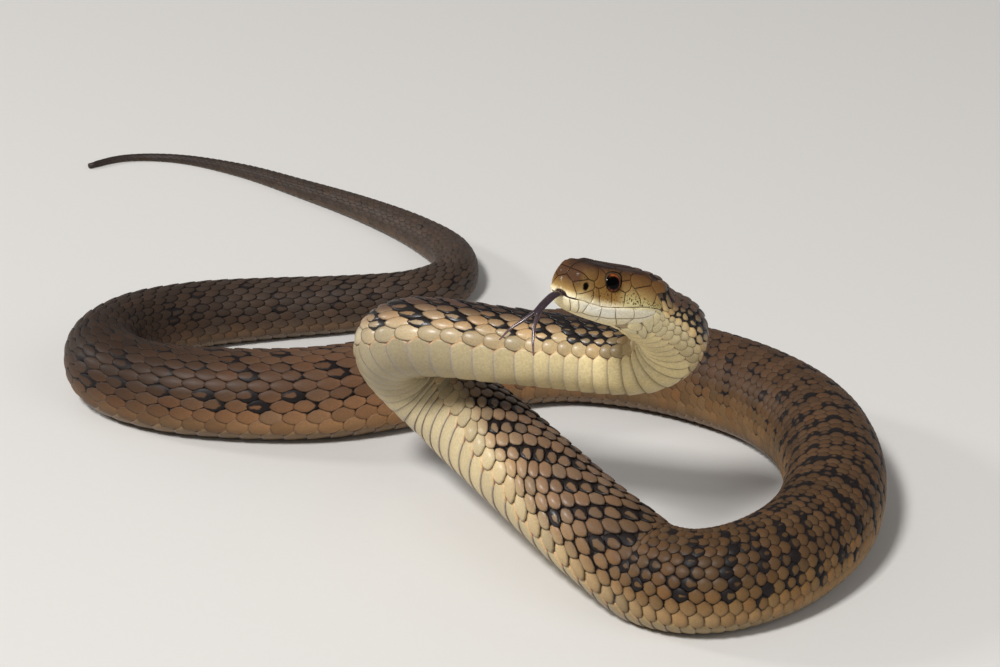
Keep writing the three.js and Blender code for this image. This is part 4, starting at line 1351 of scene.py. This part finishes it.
def coat_material(name, roughness, grain, bump, gloss, gloss_roughness=0.25, shine=0.3, marks=None):
    """The piece's own colour with fine grain in colour, roughness and height

    marks draws dark spots where the colour's fourth number says: their fineness, the weights of that number
    and of chance, the level at which they start and their colour.
    """
    material, tree, shader = new_material(name)
    where = add_node(tree, "TexCoord", {}, "Object")
    coat = add_node(tree, "VertexColor", {}, "Color", layer_name="Coat")
    fine = add_node(tree, "TexNoise", {"Vector": where, "Scale": grain, "Detail": 4}, "Fac")
    tint = {"Factor": 1, "A": coat, "B": map_range(tree, fine, 0.3, 0.7, *GRAIN_TONES)}
    tone = add_node(tree, "Mix", tint, "Result", data_type="RGBA", blend_type="MULTIPLY")
    if marks:
        size, weight, spread, start, dark = marks
        spots = add_node(tree, "TexNoise", {"Vector": where, "Scale": size, "Detail": 1}, "Fac")
        ragged = add_math(tree, "MULTIPLY", spots, spread)
        share = coat.node.outputs["Alpha"]
        level = add_math(tree, "MULTIPLY_ADD", share, weight, ragged)
        marked = {"Factor": map_range(tree, level, start, start + MARK_EDGE), "A": tone, "B": dark}
        tone = add_node(tree, "Mix", marked, "Result", data_type="RGBA")
    relief = {"Strength": bump, "Distance": GRAIN_RELIEF, "Height": fine}
    feed(tree, shader, {
        "Base Color": tone,
        "Roughness": map_range(tree, fine, 0, 1, max(roughness - 0.08, 0.01), roughness + 0.1),
        "Normal": add_node(tree, "Bump", relief, "Normal"),
        "Specular IOR Level": shine,
        "Coat Weight": gloss,
        "Coat Roughness": gloss_roughness,
    })
    return material


def floor_material(look):
    """Even pale paint with a little grain in tone and roughness"""
    material, tree, shader = new_material("pale_floor")
    where = add_node(tree, "TexCoord", {}, "Object")
    grain = add_node(tree, "TexNoise", {"Vector": where, "Scale": 400}, "Fac")
    dark, light = ((*[share * c for c in look.floor_colour], 1) for share in (0.99, 1.01))
    tone = add_node(tree, "Mix", {"Factor": grain, "A": dark, "B": light}, "Result", data_type="RGBA")
    feed(tree, shader, {"Base Color": tone, "Roughness": map_range(tree, grain, 0, 1, 0.86, 0.94)})
    return material


# ---------------------------------------------------------------- what a user may change


def colour_choice(name, description, red, green, blue):
    """A colour that is given by its eight-bit values"""
    return FloatVectorProperty(name=name, description=description, subtype="COLOR", size=3, min=0, max=1,
                               default=[float(c) for c in colour(red, green, blue)])


def number(name, description, default, low, high):
    """A plain number"""
    return FloatProperty(name=name, description=description, default=default, min=low, max=high)


def length(name, description, default, low, high):
    """A length in metres"""
    return FloatProperty(name=name, description=description, default=default, min=low, max=high,
                         unit="LENGTH", subtype="DISTANCE", precision=5)


def power(name, description, default):
    """A lamp's power in watts"""
    return FloatProperty(name=name, description=description, default=default, min=0, max=500, unit="POWER")


class SNAKE_PG_skin(bpy.types.PropertyGroup):
    """Skin below the scales"""

    depth: length("Depth", "How far the skin lies below the scales' tops on the body", 0.00042, 0.0001, 0.001)
    seam: colour_choice("Back seams", "Colour between the scales of the back", 44, 34, 30)
    low_seam: colour_choice("Low seams", "Colour between the pale scales near the belly", 142, 134, 134)
    mouth: colour_choice("Mouth", "Colour at the corner where the tongue comes out", 48, 30, 26)


class SNAKE_PG_scales(bpy.types.PropertyGroup):
    """Small scales of the back and sides"""

    length: number("Length", "Half length of a scale as a share of the distance to the next", 0.59, 0.4, 0.9)
    width: number("Width", "Half width of a scale as a share of the distance to the next row", 0.67, 0.4, 0.9)
    dome: number("Dome", "Height of a scale's middle, in millimetres on a scale of 4 mm", 0.42, 0, 1)
    tilt: number("Tilt", "How much a scale's hind tip stands up", 0.13, 0, 0.4)
    variation: number("Variation", "How much the scales differ in lightness", 0.15, 0, 0.5)
    # Partly the scales' own pale front edges, partly painted highlight.
    pale_rim_and_highlight: number("Light rims", "How much lighter a scale is towards its front", 0.5, 0, 1)
    ink_share: number("Dark marks", "Strength of the dark crossbands", 1, 0, 2)
    ink: colour_choice("Ink", "Colour of the dark crossbands", 27, 22, 21)


class SNAKE_PG_belly(bpy.types.PropertyGroup):
    """Broad plates of the belly"""

    length: number("Length", "Half length of a plate as a share of the distance to the next", 0.53, 0.4, 0.8)
    thickness: length("Thickness", "Thickness of a plate", 0.00028, 0.0001, 0.001)
    tilt: number("Tilt", "How much a plate's hind edge stands up, in millimetres", 0.17, 0, 0.5)
    shade: colour_choice("Shade", "Colour of the cloudy parts of the plates", 176, 160, 122)
    line: colour_choice("Lines", "Colour along the plates' front and hind edges", 142, 134, 134)
    blush: colour_choice("Blush", "Colour at the plates' ends", 214, 150, 92)


class SNAKE_PG_shields(bpy.types.PropertyGroup):
    """Large shields of the head"""

    gap: length("Gap", "Half width of the groove between two shields", 0.00005, 0.00001, 0.0003)
    height: number("Height", "Height of the shields as a share of the usual one", 0.7, 0.3, 2)
    top_groove: colour_choice("Grooves", "Colour of the grooves on top of the head", 52, 34, 24)


class SNAKE_PG_eyes(bpy.types.PropertyGroup):
    """Eyes"""

    radius: length("Radius", "Radius of the ball of the eye", 0.0026, 0.0015, 0.004)
    pupil: FloatProperty(name="Pupil", description="Half angle of the pupil seen from the middle of the ball",
                         default=0.6, min=0.2, max=0.9, subtype="ANGLE")
    iris: colour_choice("Iris", "Main colour of the iris", 116, 64, 38)
    iris_streaks: colour_choice("Iris streaks", "Colour of the fine streaks in the iris", 66, 38, 24)
    iris_top: colour_choice("Iris top", "Colour of the upper part of the iris", 156, 80, 40)


class SNAKE_PG_tongue(bpy.types.PropertyGroup):
    """Forked tongue"""

    width: length("Width", "Width of the stem at the mouth", 0.0025, 0.001, 0.004)
    thickness: length("Thickness", "Thickness of the stem at the mouth", 0.0012, 0.0005, 0.002)
    stem: colour_choice("Stem", "Colour of the stem", 48, 34, 40)
    tip: colour_choice("Tips", "Colour of the two tips", 105, 76, 76)


class SNAKE_PG_stage(bpy.types.PropertyGroup):
    """Floor, lamps and camera"""

    floor_size: length("Floor", "Side of the square floor", 6, 1, 20)
    floor_colour: FloatVectorProperty(name="Floor colour", description="Colour of the floor", subtype="COLOR",
                                      size=3, min=0, max=1, default=(0.62, 0.6, 0.57))
    key_power: power("Main lamp", "Power of the main lamp, up on the left", 36)
    fill_power: power("Fill lamp", "Power of the broad lamp on the right", 6)
    side_power: power("Side lamp", "Power of the small lamp low on the left", 7)
    back_power: power("Back lamp", "Power of the lamp behind", 1.5)
    room_light: number("Room light", "Strength of the even light from all round", 0.24, 0, 2)
    lens: FloatProperty(name="Lens", description="Focal length of the camera", default=115.2, min=20, max=300,
                        unit="CAMERA")


# ---------------------------------------------------------------- operators

# The parts of the body in which its scales and plates are laid: name, and first and last millimetre.
SECTIONS = (("neck", 0, 140), ("front", 140, 222), ("bend", 222, 390),
            ("back", 390, 560), ("left", 560, 715), ("tail", 715, 875))
GLOSSY_SECTIONS = ("neck", "front")
# Each lamp's name, place in metres, size, and whether it shows in what is glossy. All point at LAMPS_AIM.
LAMPS = (
    ("key", (-0.62, -1.05, 1.55), 0.34, True),
    ("fill", (1.2, -0.9, 0.9), 1.2, False),
    ("side", (-1.35, 0.32, 0.68), 0.2, True),
    ("back", (-0.6, 1.3, 1.2), 1.0, False),
)
LAMPS_AIM = (0, 0, 0.03)
ROOM_COLOUR = (0.82, 0.82, 0.83, 1)
CAMERA_PLACE = (0.0171, -0.80655, 0.3861)
CAMERA_TILT = 65


def finish_piece(piece, material, slot, *nodes):
    """Give a piece its material and body, and hide the nodes that it stands for; the slot is not used"""
    piece.data.materials.append(material)
    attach(piece, "root")
    if nodes:
        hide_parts(*nodes)


def section_slot(section):
    """The slot name for a section: neck_skin for the neck and body_skin for the rest"""
    return "neck_skin" if section == "neck" else "body_skin"


class SNAKE_OT_stage(bpy.types.Operator):
    """Lay the floor and set the lamps, the room light and the camera"""

    bl_idname = "snake.stage"
    bl_label = "Stage"

    def execute(self, context):
        look = context.scene.snake_stage
        deselect_all()
        bpy.ops.mesh.primitive_plane_add(size=look.floor_size)
        floor = context.object
        floor.name = "floor"
        floor.data.materials.append(floor_material(look))
        for name, place, size, in_gloss in LAMPS:
            bpy.ops.object.light_add(type="AREA", location=place)
            lamp = context.object
            lamp.name = name
            lamp.data.size = size
            lamp.data.energy = getattr(look, name + "_power")
            lamp.visible_glossy = in_gloss
            lamp.rotation_euler = (Vector(LAMPS_AIM) - Vector(place)).to_track_quat("-Z", "Y").to_euler()
        world = bpy.data.worlds.new("room")
        world.use_nodes = True
        room = world.node_tree.nodes["Background"]
        room.inputs["Color"].default_value = ROOM_COLOUR
        room.inputs["Strength"].default_value = look.room_light
        context.scene.world = world
        bpy.ops.object.camera_add(location=CAMERA_PLACE, rotation=(math.radians(CAMERA_TILT), 0, 0))
        camera = context.object
        camera.name = "camera"
        camera.data.lens = look.lens
        camera.data.sensor_width = 36
        camera.data.clip_start = 0.01
        context.scene.camera = camera
        context.scene.view_settings.view_transform = "Standard"
        return {"FINISHED"}


class SNAKE_OT_skin(bpy.types.Operator):
    """Make the one closed skin that takes the place of the plain body"""

    bl_idname = "snake.skin"
    bl_label = "Skin"

    def execute(self, context):
        material = coat_material("soft_skin", roughness=0.5, grain=3000, bump=0.2, gloss=0.0)
        finish_piece(make_skin(context.scene.snake_skin), material, "body_skin", *FLESH)
        return {"FINISHED"}


class SNAKE_OT_scales(bpy.types.Operator):
    """Cover the back and the sides with small scales, section by section"""

    bl_idname = "snake.scales"
    bl_label = "Scales"

    def execute(self, context):
        look = context.scene.snake_scales
        marks = (1100, 1.0, 0.3, 0.57, (*look.ink, 1))
        glossy = coat_material("glossy_scales", roughness=0.4, grain=2600, bump=0.2, gloss=0.12,
                               gloss_roughness=0.18, shine=0.25, marks=marks)
        dull = coat_material("dull_scales", roughness=0.5, grain=2600, bump=0.25, gloss=0.02,
                             gloss_roughness=0.3, shine=0.16, marks=marks)
        template = scale_template()
        for section, first, last in SECTIONS:
            piece = make_scales(section + "_scales", first, last, template, look)
            finish_piece(piece, glossy if section in GLOSSY_SECTIONS else dull, section_slot(section))
        return {"FINISHED"}


class SNAKE_OT_belly(bpy.types.Operator):
    """Lay the broad plates of the belly, section by section"""

    bl_idname = "snake.belly"
    bl_label = "Belly plates"

    def execute(self, context):
        material = coat_material("belly_plates", roughness=0.42, grain=1800, bump=0.2, gloss=0.05)
        template = plate_template()
        for section, first, last in SECTIONS:
            piece = make_belly(section + "_belly", first, last, template, context.scene.snake_belly)
            finish_piece(piece, material, section_slot(section))
        return {"FINISHED"}


class SNAKE_OT_head_shields(bpy.types.Operator):
    """Cover the head with its large shields"""

    bl_idname = "snake.head_shields"
    bl_label = "Head shields"

    def execute(self, context):
        freckle = (2300, 0.35, 1.0, 0.8, (0.025, 0.016, 0.01, 1))
        material = coat_material("head_shields", roughness=0.4, grain=2400, bump=0.12, gloss=0.1,
                                 gloss_roughness=0.12, shine=0.0, marks=freckle)
        finish_piece(make_shields(context.scene.snake_shields), material, "head_skin")
        return {"FINISHED"}


class SNAKE_OT_eyes(bpy.types.Operator):
    """Set both eyes in the head"""

    bl_idname = "snake.eyes"
    bl_label = "Eyes"

    def execute(self, context):
        material = coat_material("cornea", roughness=0.3, grain=900, bump=0.0, gloss=0.16,
                                 gloss_roughness=0.02, shine=0.0)
        for name, node, side in (("left_eye", "eye_left", -1), ("right_eye", "eye_right", 1)):
            finish_piece(make_eye(name, side, context.scene.snake_eyes), material, "eye", node)
        return {"FINISHED"}


class SNAKE_OT_tongue(bpy.types.Operator):
    """Make the forked tongue"""

    bl_idname = "snake.tongue"
    bl_label = "Tongue"

    def execute(self, context):
        material = coat_material("wet", roughness=0.25, grain=900, bump=0.02, gloss=0.6,
                                 gloss_roughness=0.08, shine=0.35)
        finish_piece(make_tongue(context.scene.snake_tongue), material, "tongue", "tongue")
        return {"FINISHED"}


GROUPS = {
    "stage": SNAKE_PG_stage, "skin": SNAKE_PG_skin, "scales": SNAKE_PG_scales, "belly": SNAKE_PG_belly,
    "shields": SNAKE_PG_shields, "eyes": SNAKE_PG_eyes, "tongue": SNAKE_PG_tongue,
}
OPERATORS = {
    "stage": SNAKE_OT_stage, "skin": SNAKE_OT_skin, "scales": SNAKE_OT_scales, "belly": SNAKE_OT_belly,
    "shields": SNAKE_OT_head_shields, "eyes": SNAKE_OT_eyes, "tongue": SNAKE_OT_tongue,
}


class SNAKE_PT_pieces(bpy.types.Panel):
    """The pieces of the snake with their sizes and colours"""

    bl_idname = "SNAKE_PT_pieces"
    bl_label = "Coiled snake"
    bl_space_type = "VIEW_3D"
    bl_region_type = "UI"
    bl_category = "Snake"

    def draw(self, context):
        for part, operator in OPERATORS.items():
            box = self.layout.box()
            box.operator(operator.bl_idname)
            look = getattr(context.scene, "snake_" + part)
            for choice in GROUPS[part].__annotations__:
                box.prop(look, choice)


def register():
    """Register the groups, the operators and the panel"""
    for part, group in GROUPS.items():
        bpy.utils.register_class(group)
        setattr(bpy.types.Scene, "snake_" + part, PointerProperty(type=group))
    for operator in OPERATORS.values():
        bpy.utils.register_class(operator)
    bpy.utils.register_class(SNAKE_PT_pieces)


def unregister():
    """Undo what register did"""
    bpy.utils.unregister_class(SNAKE_PT_pieces)
    for operator in reversed(OPERATORS.values()):
        bpy.utils.unregister_class(operator)
    for part, group in reversed(GROUPS.items()):
        delattr(bpy.types.Scene, "snake_" + part)
        bpy.utils.unregister_class(group)


def main():
    """Build the stage and every piece"""
    register()
    bpy.ops.snake.stage()
    bpy.ops.snake.skin()
    bpy.ops.snake.scales()
    bpy.ops.snake.belly()
    bpy.ops.snake.head_shields()
    bpy.ops.snake.eyes()
    bpy.ops.snake.tongue()


if __name__ == "__main__":
    main()
